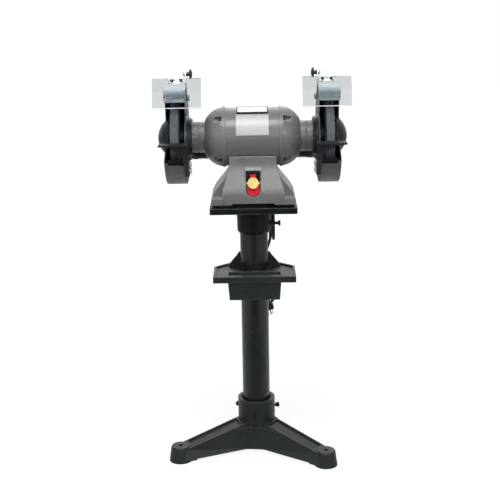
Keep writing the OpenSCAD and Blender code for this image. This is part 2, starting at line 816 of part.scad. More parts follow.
module rubber_pads() {
    color(black) for (x = [-1, 1], y = [-1, 1])
        translate([x * base_bolt_x, y * base_bolt_y, plate_top]) difference() {
        round_block(40, 40, pad_t, 4);
        translate([0, 0, -eps]) cylinder(h = pad_t + 2 * eps, d = base_bolt_d + 1);
    }
}

module base_bolts() {
    head = 0.7 * base_bolt_d;
    color(zinc) for (x = [-1, 1], y = [-1, 1]) translate([x * base_bolt_x, y * base_bolt_y, plate_z]) {
        translate([0, 0, -head]) cylinder(h = head, r = 1.7 * base_bolt_d / sqrt(3), $fn = 6);
        translate([0, 0, -eps]) cylinder(h = plate_t + pad_t + flange_h - 2 + eps, d = base_bolt_d);
    }
}

module start_capacitor() {
    r = 20;
    wall_y = base_neck_d / 2 - cavity_wall;
    color(black) translate([-30, wall_y - r - 0.2, base_z + 30]) rotate([0, 90, 0]) {
        cylinder(h = 58, r = r);
        for (y = [-7, 7]) translate([0, y, -5]) cylinder(h = 6, r = 2.5);
    }
}

// Switch

module switch_body() {
    color(black) difference() {
        along_y(switch_front, switch_front + switch_depth) switch_shape(switch_w, switch_h);
        along_y(-far, switch_front + rocker_pocket) rocker_window();
        translate([-switch_w / 2 + 1, rocker_back - 2, rocker_z]) rotate([0, 90, 0])
            cylinder(h = switch_w - 2, d = rocker_pin_d + 2 * run_gap);
    }
}

module rocker_window() {
    w = rocker_w + 0.8;
    bottom = switch_z + 1.5;
    translate([0, bottom + w / 2]) circle(w / 2);
    translate([-w / 2, bottom + w / 2]) square([w, switch_h - w / 2 - 6]);
}

module rocker_shape() {
    bottom = switch_z + 2;
    tab = 13.6;
    translate([0, bottom + rocker_w / 2]) circle(rocker_w / 2);
    polygon([[-rocker_w / 2, bottom + rocker_w / 2], [rocker_w / 2, bottom + rocker_w / 2],
             [rocker_w / 2, rocker_z], [tab / 2, rocker_z + 15], [tab / 2, rocker_z + 24],
             [-tab / 2, rocker_z + 24], [-tab / 2, rocker_z + 15], [-rocker_w / 2, rocker_z]]);
}

module switch_rocker() {
    color(red) difference() {
        union() {
            along_y(rocker_front, rocker_back) rocker_shape();
            translate([-switch_w / 2 + 1.3, rocker_back - 2, rocker_z]) rotate([0, 90, 0])
                cylinder(h = switch_w - 2.6, d = rocker_pin_d);
        }
        for (x = [-7, 7]) translate([x, rocker_front - eps, key_z]) rotate([-90, 0, 0])
            cylinder(h = key_pin_l + 1 + eps, d = key_pin_d + 2 * run_gap);
    }
}

module safety_key() {
    color(yellow) {
        along_y(rocker_front - 0.2 - key_t, rocker_front - 0.2) union() {
            translate([0, key_z]) circle(key_d / 2);
            translate([-key_d / 2 - 2.5, key_z - 2]) square([key_d + 5, 4]);
        }
        for (x = [-7, 7]) translate([x, rocker_front - 0.2 - eps, key_z]) rotate([-90, 0, 0])
            cylinder(h = key_pin_l + eps, d = key_pin_d);
    }
}

// Motor

module motor_barrel() {
    color(casting_grey) difference() {
        bar_x(-bell_x, bell_x, barrel_r);
        bar_x(-far, far, barrel_r - barrel_wall);
        for (a = bell_screw_angles) {
            y = bell_screw_r * cos(a);
            z = bell_screw_r * sin(a);
            bar_x(bell_x - screw_l, far, screw_r + run_gap, y, z);
            bar_x(-far, -bell_x + screw_l, screw_r + run_gap, y, z);
        }
    }
}

module stator() {
    r = barrel_r - barrel_wall - seat_gap;
    bore = rotor_r + air_gap;
    color(steel) difference() {
        bar_x(-stator_l / 2, stator_l / 2, r);
        bar_x(-far, far, bore);
    }
    color(copper) for (x = [-stator_l / 2 - 16, stator_l / 2]) difference() {
        bar_x(x, x + 16, r - 6);
        bar_x(-far, far, bore + 5);
    }
}

module rotor() {
    color(steel) difference() {
        bar_x(-rotor_l / 2, rotor_l / 2, rotor_r);
        bar_x(-far, far, shaft_d / 2 + run_gap);
    }
}

module arbor_shaft() {
    color(steel) {
        bar_x(-shoulder_x, shoulder_x, shaft_d / 2);
        bar_x(-shaft_end, shaft_end, arbor_d / 2);
    }
}

module shaft_bearings() {
    color(steel) for (side = [-1, 1]) on_side(side) difference() {
        bar_x(bearing_x, bearing_x + bearing_w, bearing_d / 2 - run_gap);
        bar_x(bearing_x - eps, bearing_x + bearing_w + eps, shaft_d / 2 + run_gap);
    }
}

module end_bell(side) {
    rim = bell_x + bell_rim_l;
    steps = 14;
    curve = [for (i = [0 : steps]) let (x = rim + (bell_end - rim) * i / steps) [x, bell_r(x)]];
    cavity_end = bearing_x - 2;
    hollow = [for (i = [0 : steps])
        let (x = rim + (cavity_end - rim) * i / steps) [x, bell_r(x) - bell_shell]];
    color(casting_grey) on_side(side) difference() {
        union() {
            difference() {
                turned_x(concat([[bell_x, 0], [bell_x, ridge_r], [rim, ridge_r]], curve,
                                [[bell_end, neck_r], [nose_end - neck_seam, neck_r],
                                 [nose_end, neck_r - neck_seam], [nose_end, 0]]));
                turned_x(concat([[bell_x - eps, 0], [bell_x - eps, bell_r(rim) - bell_shell]],
                                hollow, [[cavity_end, 0]]));
            }
            difference() {
                bar_x(bell_x - spigot_l, bell_x + eps, barrel_r - barrel_wall - seat_gap);
                bar_x(bell_x - far, bell_x + far, barrel_r - barrel_wall - bell_shell);
            }
            intersection() {
                turned_x(concat([[bell_x, 0], [bell_x, ridge_r], [rim, ridge_r]], curve, [[bell_end, 0]]));
                for (a = bell_screw_angles)
                    bar_x(bell_x, rim + pocket_l + 5, pocket_r + 5,
                          bell_screw_r * cos(a), bell_screw_r * sin(a));
            }
        }
        for (a = bell_screw_angles) {
            y = bell_screw_r * cos(a);
            z = bell_screw_r * sin(a);
            bar_x(rim, rim + pocket_l, pocket_r, y, z);
            bar_x(bell_x - far, rim + eps, screw_r + run_gap, y, z);
        }
        bar_x(bearing_x - 5, bearing_x + bearing_w, bearing_d / 2);
        bar_x(bearing_x, far, shaft_d / 2 + 4);
        for (a = bell_screw_angles)
            bar_x(nose_end - 14, far, screw_r + run_gap, guard_screw_r * cos(a), guard_screw_r * sin(a));
    }
}

module left_end_bell() { end_bell(-1); }
module right_end_bell() { end_bell(1); }

module casing_screws() {
    color(black) {
        for (side = [-1, 1], a = bell_screw_angles) on_side(side) {
            casing_screw(bell_x + bell_rim_l, screw_l, bell_screw_r * cos(a), bell_screw_r * sin(a));
            casing_screw(seat_x, seat_x - nose_end + 12, guard_screw_r * cos(a), guard_screw_r * sin(a));
        }
        for (x = [-1, 1]) translate([x * lug_half * 0.6, lug_pad_y + lug_plate_t, lug_z]) rotate([90, 0, 0]) {
            translate([0, 0, -screw_head_l]) cylinder(h = screw_head_l, r = screw_head_r);
            translate([0, 0, -eps]) cylinder(h = screw_l, r = screw_r);
        }
    }
}

module name_plate() {
    color(white) translate([0, 0, spindle_z]) rotate([name_angle, 0, 0]) difference() {
        translate([0, 0, barrel_r - 4]) cube_at([name_w, name_h, name_rise + 4]);
        translate([-far / 2, 0, 0]) rotate([0, 90, 0]) cylinder(h = far, r = barrel_r + seat_gap);
    }
}

module rating_plate() {
    r = barrel_r + seat_gap;
    function ray(a) = [-far * sin(a), far * cos(a)];
    color(white) intersection() {
        difference() {
            bar_x(-rating_half, rating_half, r + 0.8);
            bar_x(-far, far, r);
        }
        along_x(-rating_half, rating_half)
            polygon([[0, 0], ray(rating_from), [-far, far], ray(rating_to)]);
    }
}

// Guards

// The front opening of a guard or its cover, measured from the spindle, with its lower inner corners
module guard_opening(lower) {
    rim = [-guard_r * cos(open_up), guard_r * sin(open_up)];
    polygon(concat([[open_inner_y, open_inner_z], rim, 2 * rim, [-far, far], [-far, -open_down - 30],
                    [-guard_r, -open_down - 2]], lower));
}

// The plate inside a guard's mouth that stands above the lower lip
module lip_band() {
    r = guard_r - guard_wall;
    intersection() {
        difference() {
            bar_x(guard_x + 1, cover_x - eps, r + eps);
            bar_x(guard_x, far, r - lip_band_t);
        }
        along_x(guard_x, far) translate([-guard_r, -open_down - 21])
            square([guard_r, open_down + 21 + lip_band_top]);
    }
}

module guard(side) {
    color(guard_grey) on_side(side) difference() {
        union() {
            difference() {
                turned_x([[guard_x, 0], [guard_x, guard_r - guard_ease],
                          [guard_x + 0.3 * guard_ease, guard_r - 0.3 * guard_ease],
                          [guard_x + guard_ease, guard_r], [cover_x, guard_r], [cover_x, 0]]);
                bar_x(guard_x + guard_wall, far, guard_r - guard_wall);
                along_x(guard_x - eps, far) guard_opening([[open_inner_y, -open_inner_z]]);
            }
            intersection() {
                translate([hub_x, 0, spindle_z]) sphere(hub_r);
                bar_x(nose_end, guard_x + guard_wall, hub_r);
                bar_x(guard_x - 15, far, hub_r + 1);
            }
            turned_x([[nose_end, 0], [nose_end, neck_r - neck_seam], [nose_end + neck_seam, neck_r],
                      [seat_x, neck_r], [seat_x, 0]]);
            lip_band();
            for (a = cover_boss_angles)
                bar_x(guard_x + 1, cover_x, cover_boss_r,
                      cover_boss_circle * cos(a), cover_boss_circle * sin(a));
            difference() {
                bar_x(seat_x, cover_x, chute_r, chute_y, chute_z);
                bar_x(guard_x + guard_wall, far, guard_r - guard_wall);
            }
            bar_x(seat_x - stub_l, seat_x + 1, stub_r, chute_y, chute_z);
        }
        intersection() {
            translate([hub_x, 0, spindle_z]) sphere(hub_r - guard_wall);
            bar_x(seat_x, far, hub_r);
        }
        bar_x(nose_end - eps, far, guard_bore_r);
        bar_x(seat_x + chute_wall, cover_x - chute_wall, chute_r - chute_wall, chute_y, chute_z);
        bar_x(seat_x - far, seat_x + chute_wall + 1, stub_r - 3, chute_y, chute_z);
        for (a = cover_boss_angles)
            bar_x(cover_x - 14, far, screw_r + run_gap,
                  cover_boss_circle * cos(a), cover_boss_circle * sin(a));
        for (a = bell_screw_angles)
            bar_x(-far, far, screw_r + run_gap, guard_screw_r * cos(a), guard_screw_r * sin(a));
        bar_x(guard_x - 1, far, arm_bolt_d / 2 + run_gap, arm_bolt_y, arm_bolt_z);
        for (z = rest_bolt_zs)
            bar_x(guard_x - 1, guard_x + guard_wall + 1, rest_bolt_d / 2 + run_gap, rest_bolt_y, z);
    }
}

module left_guard() { guard(-1); }
module right_guard() { guard(1); }

// A quarter arc of the dome from the cover's back face to its tip, as [distance along X, radius]
function dome_arc(r) = let (from = asin((cover_x - hub_x) / r))
    [for (i = [0 : 20]) let (a = from + (90 - from) * i / 20) [hub_x + r * sin(a), i == 20 ? 0 : r * cos(a)]];

module guard_cover(side) {
    outer = dome_arc(hub_r);
    inner = dome_arc(hub_r - cover_t);
    color(guard_grey) on_side(side) difference() {
        union() {
            difference() {
                turned_x([[cover_x, 0], [cover_x, guard_r], [guard_end - guard_ease, guard_r],
                          [guard_end - 0.3 * guard_ease, guard_r - 0.3 * guard_ease],
                          [guard_end, guard_r - guard_ease], [guard_end, 0]]);
                bar_x(cover_x - eps, guard_end - cover_t, guard_r - guard_wall);
                along_x(cover_x - eps, far)
                    guard_opening([[cover_edge_y, cover_edge_z], [open_inner_y, cover_edge_z]]);
            }
            for (a = cover_boss_angles)
                bar_x(cover_x, guard_end - eps, cover_boss_r,
                      cover_boss_circle * cos(a), cover_boss_circle * sin(a));
            turned_x(concat([[cover_x, 0]], outer));
        }
        turned_x(concat([[cover_x - eps, 0], [cover_x - eps, inner[0][1]]], inner));
        for (a = cover_boss_angles)
            bar_x(cover_x - eps, far, screw_r + run_gap,
                  cover_boss_circle * cos(a), cover_boss_circle * sin(a));
    }
}

module left_guard_cover() { guard_cover(-1); }
module right_guard_cover() { guard_cover(1); }

module cover_screws() {
    color(zinc) for (side = [-1, 1], a = cover_boss_angles) on_side(side)
        casing_screw(guard_end, cover_rim + 12, cover_boss_circle * cos(a), cover_boss_circle * sin(a));
}

// Spindle pieces

module wheel(side) {
    color(stone) on_side(side) difference() {
        bar_x(wheel_x - wheel_w / 2, wheel_x + wheel_w / 2, wheel_d / 2);
        bar_x(guard_x, far, arbor_d / 2 + run_gap);
    }
}

module left_wheel() { wheel(-1); }
module right_wheel() { wheel(1); }

module wheel_flanges() {
    color(steel) for (side = [-1, 1], x = [shoulder_x, wheel_x + wheel_w / 2]) on_side(side) difference() {
        bar_x(x, x + wheel_flange_t, wheel_flange_d / 2);
        bar_x(guard_x, far, arbor_d / 2 + run_gap);
    }
}

module wheel_nuts() {
    x = wheel_x + wheel_w / 2 + wheel_flange_t;
    color(steel) for (side = [-1, 1]) on_side(side) difference() {
        hex_x(x, x + nut_l, nut_af);
        bar_x(guard_x, far, arbor_d / 2 + run_gap);
    }
}

// Tool rests and spark arresters

// A straight slot through X, from [y0, z0] to [y1, z1] measured from the spindle
module slot_x(x0, x1, d, a, b, ease = 0) {
    for (p = [a, b]) bar_x(x0, x1, d / 2, p[0], p[1]);
    translate([x0, a[0], spindle_z + a[1]]) rotate([atan2(b[1] - a[1], b[0] - a[0]), 0, 0])
        translate([0, 0, ease - d / 2]) cube([x1 - x0, norm(b - a), d - 2 * ease]);
}

module tool_rest(side) {
    under = rest_top - rest_t + eps;
    foot = min(rest_bolt_zs) - 12;
    lead = rest_bolt_y + rest_travel + 14;
    front = gusset_y - gusset_t;
    toe = rest_bolt_y - 26;
    color(black) on_side(side) difference() {
        union() {
            translate([rest_leg_x, rest_front, spindle_z + rest_top - rest_t]) cube([rest_w, rest_d, rest_t]);
            along_x(rest_leg_x, rest_leg_x + rest_leg_t)
                polygon([[rest_front + 8, under], [rest_back, under], [rest_back + 4, -48], [lead, -50],
                         [lead, foot], [toe, foot], [front, -gusset_h]]);
            along_y(front, gusset_y) translate([rest_leg_x, spindle_z])
                polygon(concat([[0, under]], [for (e = gusset_edge)
                    [gusset_w * e[0], under - (gusset_h + under) * e[1]]], [[0, -gusset_h]]));
            intersection() {
                along_x(rest_leg_x, rest_leg_x + gusset_w)
                    polygon([[front, eps - gusset_h], [front + rest_fold, eps - gusset_h],
                             [toe + rest_fold, foot], [toe, foot]]);
                along_y(-far, 0) translate([rest_leg_x, spindle_z])
                    polygon([[0, eps - gusset_h], [gusset_w * 0.22, eps - gusset_h],
                             [rest_leg_t, foot], [0, foot]]);
            }
        }
        for (z = rest_bolt_zs)
            slot_x(rest_leg_x - 1, guard_x, rest_bolt_d + 1,
                   [rest_bolt_y, z], [rest_bolt_y + rest_travel, z]);
    }
}

module left_tool_rest() { tool_rest(-1); }
module right_tool_rest() { tool_rest(1); }

// A hexagon-headed bolt along +X with a nut inside the guard's wall
module guard_bolt(x0, d, y, z) {
    head = 0.7 * d;
    inner = guard_x + guard_wall;
    hex_x(x0 - head, x0, 1.63 * d, y, z);
    bar_x(x0 - eps, inner + head, d / 2, y, z);
    difference() {
        hex_x(inner, inner + head, 1.63 * d, y, z);
        bar_x(inner - eps, inner + head + eps, d / 2 + run_gap, y, z);
    }
}

module tool_rest_bolts() {
    color(zinc) for (side = [-1, 1], z = rest_bolt_zs) on_side(side)
        guard_bolt(rest_leg_x - run_gap, rest_bolt_d, rest_bolt_y, z);
}

module spark_arrester(side) {
    out_r = guard_r + arrester_rise;
    in_r = out_r - sheet_t;
    mid_r = out_r - sheet_t / 2;
    lip_r = wheel_d / 2 + arrester_gap;
    slide = [-cos(slide_angle), sin(slide_angle)];
    bolt = [arm_bolt_y, arm_bolt_z];
    turn = (arrester_to - arrester_from) / 12;
    tip_x = arrester_x + arrester_w;
    tip_low = in_r * sin(arrester_from) - 1;
    tip_top = out_r * sin(arrester_to) + 1;
    function at(a, r) = [-r * cos(a), r * sin(a)];
    color(zinc) on_side(side) difference() {
        union() {
            along_x(arrester_x, tip_x + arrester_flare) polygon(concat(
                [for (i = [0 : 12]) at(arrester_from + turn * i, out_r)],
                [for (i = [12 : -1 : 0]) at(arrester_from + turn * i, in_r)]));
            along_x(guard_x + guard_wall + 2, cover_x - 3)
                polygon([at(arrester_lip, mid_r), at(arrester_lip + 1.3, mid_r),
                         at(arrester_lip + 1.3, lip_r), at(arrester_lip, lip_r)]);
            along_x(arrester_x, arrester_x + sheet_t)
                polygon(concat([for (i = [1 : 11]) at(arrester_from + turn * i, mid_r)],
                    [bolt + [18, 10], bolt + [18, -22], bolt + [-22, -24]],
                    [at(arrester_from + turn, in_r - arrester_rise - 8)]));
        }
        slot_x(arrester_x - 1, guard_x, arm_bolt_d + 1,
               bolt - slide * arrester_out, bolt + slide * arrester_in, 0.1);
        translate([0, 0, spindle_z]) along_y(-far, far)
            polygon([[tip_x, tip_low], [far, tip_low], [far, tip_top], [tip_x + arrester_flare, tip_top]]);
    }
}

module left_spark_arrester() { spark_arrester(-1); }
module right_spark_arrester() { spark_arrester(1); }

module arrester_bolts() {
    color(zinc) for (side = [-1, 1]) on_side(side)
        guard_bolt(arm_x - run_gap, arm_bolt_d, arm_bolt_y, arm_bolt_z);
}

// Eye shields

module shield_arm(side) {
    color(zinc) on_side(side) difference() {
        union() {
            slot_x(arm_x, arm_x + sheet_t, arm_w, [arm_bolt_y, arm_bolt_z], [pivot_y, pivot_z]);
            hex_x(arm_x + eps, arm_x + sheet_t + weld_nut_l, 1.63 * stem_d, pivot_y, pivot_z);
        }
        bar_x(arm_x - 1, arm_x + sheet_t + 1, arm_bolt_d / 2 + run_gap, arm_bolt_y, arm_bolt_z);
        bar_x(arm_x - 1, stem_end + 1, stem_d / 2 + run_gap, pivot_y, pivot_z);
    }
}

module left_shield_arm() { shield_arm(-1); }
module right_shield_arm() { shield_arm(1); }

// The leaning frame of a shield: its origin is on the back face, at the top edge
module leaning() {
    translate([0, shield_y, spindle_z + shield_z]) rotate([-shield_lean, 0, 0]) children();
}

module shield_holes(x0, z0) {
    for (s = [-1, 1]) translate([x0 + s * shield_screw_gap / 2, -far / 2, z0])
        rotate([-90, 0, 0]) cylinder(h = far, d = shield_screw_d + 2 * run_gap);
}

module shield_bracket(side) {
    mid = bracket_x + sheet_t + bracket_w / 2;
    color(zinc) on_side(side) difference() {
        union() {
            leaning() difference() {
                translate([bracket_x, 0, bracket_low]) cube([bracket_w + sheet_t, sheet_t, bracket_h]);
                shield_holes(mid, shield_hole_z);
            }
            leaning() translate([bracket_x, 0, 0]) rotate([90, 0, 90]) linear_extrude(sheet_t)
                polygon([[0, bracket_low], [sheet_t, bracket_low], [24, 9], [9, 24],
                         [0, bracket_low + bracket_h]]);
            bar_x(bracket_x, bracket_x + sheet_t, arm_w / 2 + 1, pivot_y, pivot_z);
        }
        bar_x(bracket_x - 1, bracket_x + sheet_t + 1, stem_d / 2 + run_gap, pivot_y, pivot_z);
    }
}

module left_shield_bracket() { shield_bracket(-1); }
module right_shield_bracket() { shield_bracket(1); }

module eye_shield(side) {
    mid = bracket_x + sheet_t + bracket_w / 2;
    color(clear) on_side(side) leaning() difference() {
        translate([shield_mid_x - shield_w / 2, -shield_t, -shield_h]) cube([shield_w, shield_t, shield_h]);
        shield_holes(mid, shield_hole_z);
    }
}

module left_eye_shield() { eye_shield(-1); }
module right_eye_shield() { eye_shield(1); }

module shield_screws(side) {
    mid = bracket_x + sheet_t + bracket_w / 2;
    color(black) on_side(side) leaning() for (s = [-1, 1])
        translate([mid + s * shield_screw_gap / 2, -shield_t, shield_hole_z]) rotate([-90, 0, 0]) {
            translate([0, 0, -2.5]) cylinder(h = 2.5, r1 = 3, r2 = 4);
            translate([0, 0, -eps]) cylinder(h = shield_t + sheet_t + 3, d = shield_screw_d);
        }
}

module left_shield_screws() { shield_screws(-1); }
module right_shield_screws() { shield_screws(1); }

module knob(side) {
    x1 = bracket_x - run_gap;
    x0 = x1 - knob_neck_l;
    r = knob_d / 2;
    color(black) on_side(side) translate([0, pivot_y, pivot_z]) {
        turned_x(concat(
            [for (i = [0 : 8]) let (a = 90 * i / 8) [x0 - 2 - (knob_head_l - 2) * cos(a), r * sin(a)]],
            [[x0, r - 1], [x0, knob_hub_r], [x1, knob_hub_r], [x1, 0]]));
        bar_x(x0, stem_end, stem_d / 2);
    }
}

module left_knob() { knob(-1); }
module right_knob() { knob(1); }

// Dust hoses and manifold

module dust_hose(side) {
    rib = (hose_x1 - hose_x0 - 2 * cuff_l) / hose_ribs;
    crest = hose_d / 2;
    valley = crest - 3;
    outer = concat(
        [[hose_x0, crest], [hose_x0 + cuff_l, crest]],
        [for (i = [0 : hose_ribs - 1], s = [0.15, 0.35, 0.65, 0.85])
            [hose_x0 + cuff_l + (i + s) * rib, s == 0.35 || s == 0.65 ? crest : valley]],
        [[hose_x1 - cuff_l, crest], [hose_x1, crest]]);
    seat_r = stub_r + seat_gap;
    inner = [[hose_x1, seat_r], [hose_x1 - cuff_l, seat_r], [hose_x1 - cuff_l, hose_bore / 2],
             [hose_x0 + cuff_l, hose_bore / 2], [hose_x0 + cuff_l, seat_r], [hose_x0, seat_r]];
    color(black) on_side(side) translate([0, chute_y, chute_z]) turned_x(concat(outer, inner));
}

module left_dust_hose() { dust_hose(-1); }
module right_dust_hose() { dust_hose(1); }

module dust_manifold() {
    stub_end = hose_x0 + cuff_l - 1;
    color(black) difference() {
        union() {
            bar_x(-tee_half, tee_half, chute_r, chute_y, chute_z);
            bar_x(-stub_end, stub_end, stub_r, chute_y, chute_z);
            translate([0, chute_y, spindle_z + chute_z]) rotate([-90, 0, 0])
                cylinder(h = outlet_y - chute_y, d = outlet_d);
            translate([-lug_half, lug_pad_y, lug_z - lug_drop])
                cube([2 * lug_half, lug_plate_t, lug_top - lug_z + lug_drop]);
        }
        bar_x(-tee_half + chute_wall, tee_half - chute_wall, chute_r - chute_wall, chute_y, chute_z);
        bar_x(-far, far, stub_r - 3, chute_y, chute_z);
        translate([0, chute_y, spindle_z + chute_z]) rotate([-90, 0, 0]) cylinder(h = far, d = outlet_bore);
        for (x = [-1, 1]) translate([x * lug_half * 0.6, 0, lug_z]) rotate([-90, 0, 0])
            cylinder(h = far, r = screw_r + run_gap);
    }
}

// Cord

// One quarter of the hank's inmost loop, from its tip to its waist, as [across, up, slope of the normal]:
// a round end and then a round waist bent the other way
hank_mid = sqrt(pow(hank_end_r + hank_waist_r, 2) - pow(hank_waist + hank_waist_r, 2));
waist_arc = atan2(hank_mid, hank_waist + hank_waist_r);
end_run = hank_end_r * (90 + waist_arc) * PI / 180;
quarter_run = end_run + hank_waist_r * waist_arc * PI / 180;
function hank_quarter(s) = s < end_run
    ? let (a = s / hank_end_r * 180 / PI)
        [hank_end_r * sin(a), hank_mid + hank_end_r * cos(a), sin(a), cos(a)]
    : let (e = (quarter_run - s) / hank_waist_r * 180 / PI)
        [hank_waist + hank_waist_r * (1 - cos(e)), hank_waist_r * sin(e), cos(e), -sin(e)];

// A point of the hank at a number of turns from its top: the loops spiral in over the first
// half and out again over the second, and cross to the other layer where they turn back
function hank_point(turn) = let (
        half = hank_start + hank_loops / 2,
        k = sqrt(pow(turn - half, 2) + 0.003) * hank_step,
        layer = smooth((turn - half + 0.3) / 0.6) * 2 - 1,
        part = (turn - floor(turn)) * 4,
        i = floor(part),
        q = hank_quarter(quarter_run * (i % 2 == 0 ? part - i : i + 1 - part)),
        side = i < 2 ? -1 : 1,
        up = i == 0 || i == 3 ? 1 : -1)
    [hank_x - layer * hank_layer, hank_y + side * (q[0] + k * q[2]), hank_z + up * (q[1] + k * q[3])];
hank_start = 0.25 * hank_end_r * PI / 2 / quarter_run;
hank_finish = hank_loops + 0.5 - hank_start;
hank_rings = ceil((hank_finish - hank_start) * 24);
hank_path = [for (i = [0 : hank_rings]) hank_point(hank_start + (hank_finish - hank_start) * i / hank_rings)];
hank_first = hank_path[0];
hank_last = hank_path[len(hank_path) - 1];
lead_path = concat(lead_points, [hank_first]);
tail_path = concat([hank_last], tail_points);

// Length of a path, and the least distance between points of it that are far apart along it
function length(p, i = 1) = i >= len(p) ? 0 : norm(p[i] - p[i - 1]) + length(p, i + 1);
least_gap = min([for (i = [0 : hank_rings - 6], j = [i + 6 : hank_rings])
    norm(hank_path[i] - hank_path[j])]) - cord_d;
echo(hank_least_gap = least_gap);
echo(lead = length(lead_path), hank = length(hank_path), tail = length(tail_path));

module cord_gland() {
    flange = cord_d + 12;
    tail = cord_d + 3;
    color(black) translate([gland_x, gland_y, gland_z]) rotate([-90, 0, 0]) difference() {
        union() {
            translate([0, 0, -8]) cylinder(h = 8 + eps, d = cord_d + 8);
            cylinder(h = 4, d = flange);
            translate([0, 0, 4 - eps]) cylinder(h = gland_l - 4 + eps, d1 = cord_d + 8, d2 = tail);
        }
        translate([0, 0, -9]) cylinder(h = gland_l - 1, d = cord_d);
    }
}

module cord_lead() { color(black) tube(lead_path, cord_d, 10); }
module cord_hank() { color(black) tube(hank_path, cord_d, 6); }
module cord_tail() { color(black) tube(tail_path, cord_d, 10); }

module hank_tie() {
    front = hank_point(hank_loops + 0.25)[1] - cord_d / 2 - tie_gap;
    back = hank_point(hank_loops - 0.25)[1] + cord_d / 2 + tie_gap;
    w = back - front;
    t = 2 * hank_layer + cord_d + 2 * tie_gap;
    color(black) translate([hank_x, (front + back) / 2, hank_z - tie_h / 2]) difference() {
        round_block(t + 2 * tie_t, w + 2 * tie_t, tie_h, 4);
        translate([0, 0, -eps]) round_block(t, w, tie_h + 2 * eps, 4);
    }
}

module at_plug() {
    end = tail_points[len(tail_points) - 1];
    translate(end) rotate([0, 180 - plug_lean, 0]) children();
}

module plug_body() {
    color(black) at_plug() difference() {
        union() {
            cylinder(h = plug_l * 0.5, d1 = cord_d + 4, d2 = plug_t - 4);
            translate([0, 0, plug_l * 0.5 - eps]) round_block(plug_w, plug_t, plug_l * 0.5 + eps, 5);
        }
        for (x = [-1, 1]) translate([x * blade_gap / 2, 0, plug_l - 6])
            cube_at([1.6 + 2 * run_gap, 6.4 + 2 * run_gap, 10]);
        translate([0, 6.5, plug_l - 6]) cylinder(h = 10, d = 4.8 + 2 * run_gap);
    }
}

module plug_blades() {
    color(brass) at_plug() {
        for (x = [-1, 1]) translate([x * blade_gap / 2, 0, plug_l - 6]) cube_at([1.6, 6.4, blade_l + 6]);
        translate([0, 6.5, plug_l - 6]) cylinder(h = blade_l + 8, d = 4.8);
    }
}

stand_base();
stand_column();
base_set_screws();
top_plate();
plate_set_screws();
tool_tray();
tray_clamp_bolt();
water_pot();
grinder_base();
rubber_pads();
base_bolts();
start_capacitor();
switch_body();
switch_rocker();
safety_key();
motor_barrel();
stator();
rotor();
arbor_shaft();
shaft_bearings();
left_end_bell();
right_end_bell();
casing_screws();
name_plate();
rating_plate();
left_guard();
right_guard();
left_guard_cover();
right_guard_cover();
cover_screws();
left_wheel();
right_wheel();
wheel_flanges();
wheel_nuts();
left_tool_rest();
right_tool_rest();
tool_rest_bolts();
left_spark_arrester();
right_spark_arrester();
arrester_bolts();
left_shield_arm();
right_shield_arm();
left_shield_bracket();
right_shield_bracket();
left_eye_shield();
right_eye_shield();
left_shield_screws();
right_shield_screws();
left_knob();
right_knob();
left_dust_hose();
right_dust_hose();
dust_manifold();
cord_gland();
cord_lead();
cord_hank();
hank_tie();
cord_tail();
plug_body();
plug_blades();
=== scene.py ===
"""Looks of the bench grinder on its stand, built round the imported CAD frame. Metres, in the CAD frame."""

import json
import math

import bpy
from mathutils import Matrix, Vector


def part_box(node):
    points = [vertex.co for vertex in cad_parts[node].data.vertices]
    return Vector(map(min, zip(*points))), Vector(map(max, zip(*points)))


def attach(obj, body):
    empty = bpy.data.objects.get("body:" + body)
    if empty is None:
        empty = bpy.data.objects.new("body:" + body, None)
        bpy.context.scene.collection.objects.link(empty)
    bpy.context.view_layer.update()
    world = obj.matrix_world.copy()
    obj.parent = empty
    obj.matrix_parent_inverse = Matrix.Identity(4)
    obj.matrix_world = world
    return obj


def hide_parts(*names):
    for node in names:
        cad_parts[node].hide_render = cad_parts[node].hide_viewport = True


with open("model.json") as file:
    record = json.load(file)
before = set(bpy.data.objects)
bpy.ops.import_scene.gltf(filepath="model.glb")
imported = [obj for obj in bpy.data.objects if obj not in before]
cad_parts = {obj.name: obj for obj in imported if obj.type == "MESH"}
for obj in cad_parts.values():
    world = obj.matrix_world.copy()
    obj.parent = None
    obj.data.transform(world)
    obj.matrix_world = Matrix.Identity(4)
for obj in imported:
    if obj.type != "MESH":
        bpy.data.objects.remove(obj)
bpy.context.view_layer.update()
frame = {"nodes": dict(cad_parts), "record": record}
NODES = frame["nodes"]
scene = bpy.context.scene
scene.view_settings.view_transform = "Standard"

# Sizes taken from the CAD
SPINDLE_Z = 0.890
GUARD_X, GUARD_WALL_X = 0.175, 0.179  # a guard's inner wall, outside and inside
GUARD_BAND_R = 0.1206  # a guard's rim, inside
GUARD_END = 0.2295  # a cover's outer face
DOME_X, DOME_R = 0.193, 0.059  # middle and radius of a cover's dome
SHIELD_Y, SHIELD_Z = -0.084, SPINDLE_Z + 0.161  # upper edge of the eye shields
SHIELD_H, SHIELD_LEAN = 0.080, math.radians(25)
HOSE_Y, HOSE_Z = 0.102, SPINDLE_Z - 0.048
GLAND_AT = (0.056, 0.088, 0.733)
NAME_TILT = math.radians(22)
CORD_D = 0.0084

# Where the guards' colour changes, with painted shade on the hubs and insides: X from the machine's middle, R
# from the spindle
HUB_X, HUB_R = GUARD_X - 0.0006, 0.075
NOSE_X, NOSE_R = GUARD_X - 0.0045, 0.0413
INSIDE_X, INSIDE_R = GUARD_WALL_X - 0.0008, GUARD_BAND_R + 0.0012
CUT_X = (GUARD_X + 0.0006, GUARD_WALL_X - 0.0006)
CUT_R = (0.07, GUARD_BAND_R - 0.001)
CUP_X = GUARD_END - 0.001
DOME_SHELL = (DOME_R - 0.0012, DOME_R + 0.0006)
DOME_DARK_R = DOME_R + 0.0015

# The photograph's camera
CAMERA_AT = (0.001953, -2.66967, 1.23805)
PITCH, YAW, ROLL = 0.24278, 0.00506, 0.01623
LENS, SENSOR = 72.0, 36.0

LAMP_AIM = Vector((0, 0, 0.7))


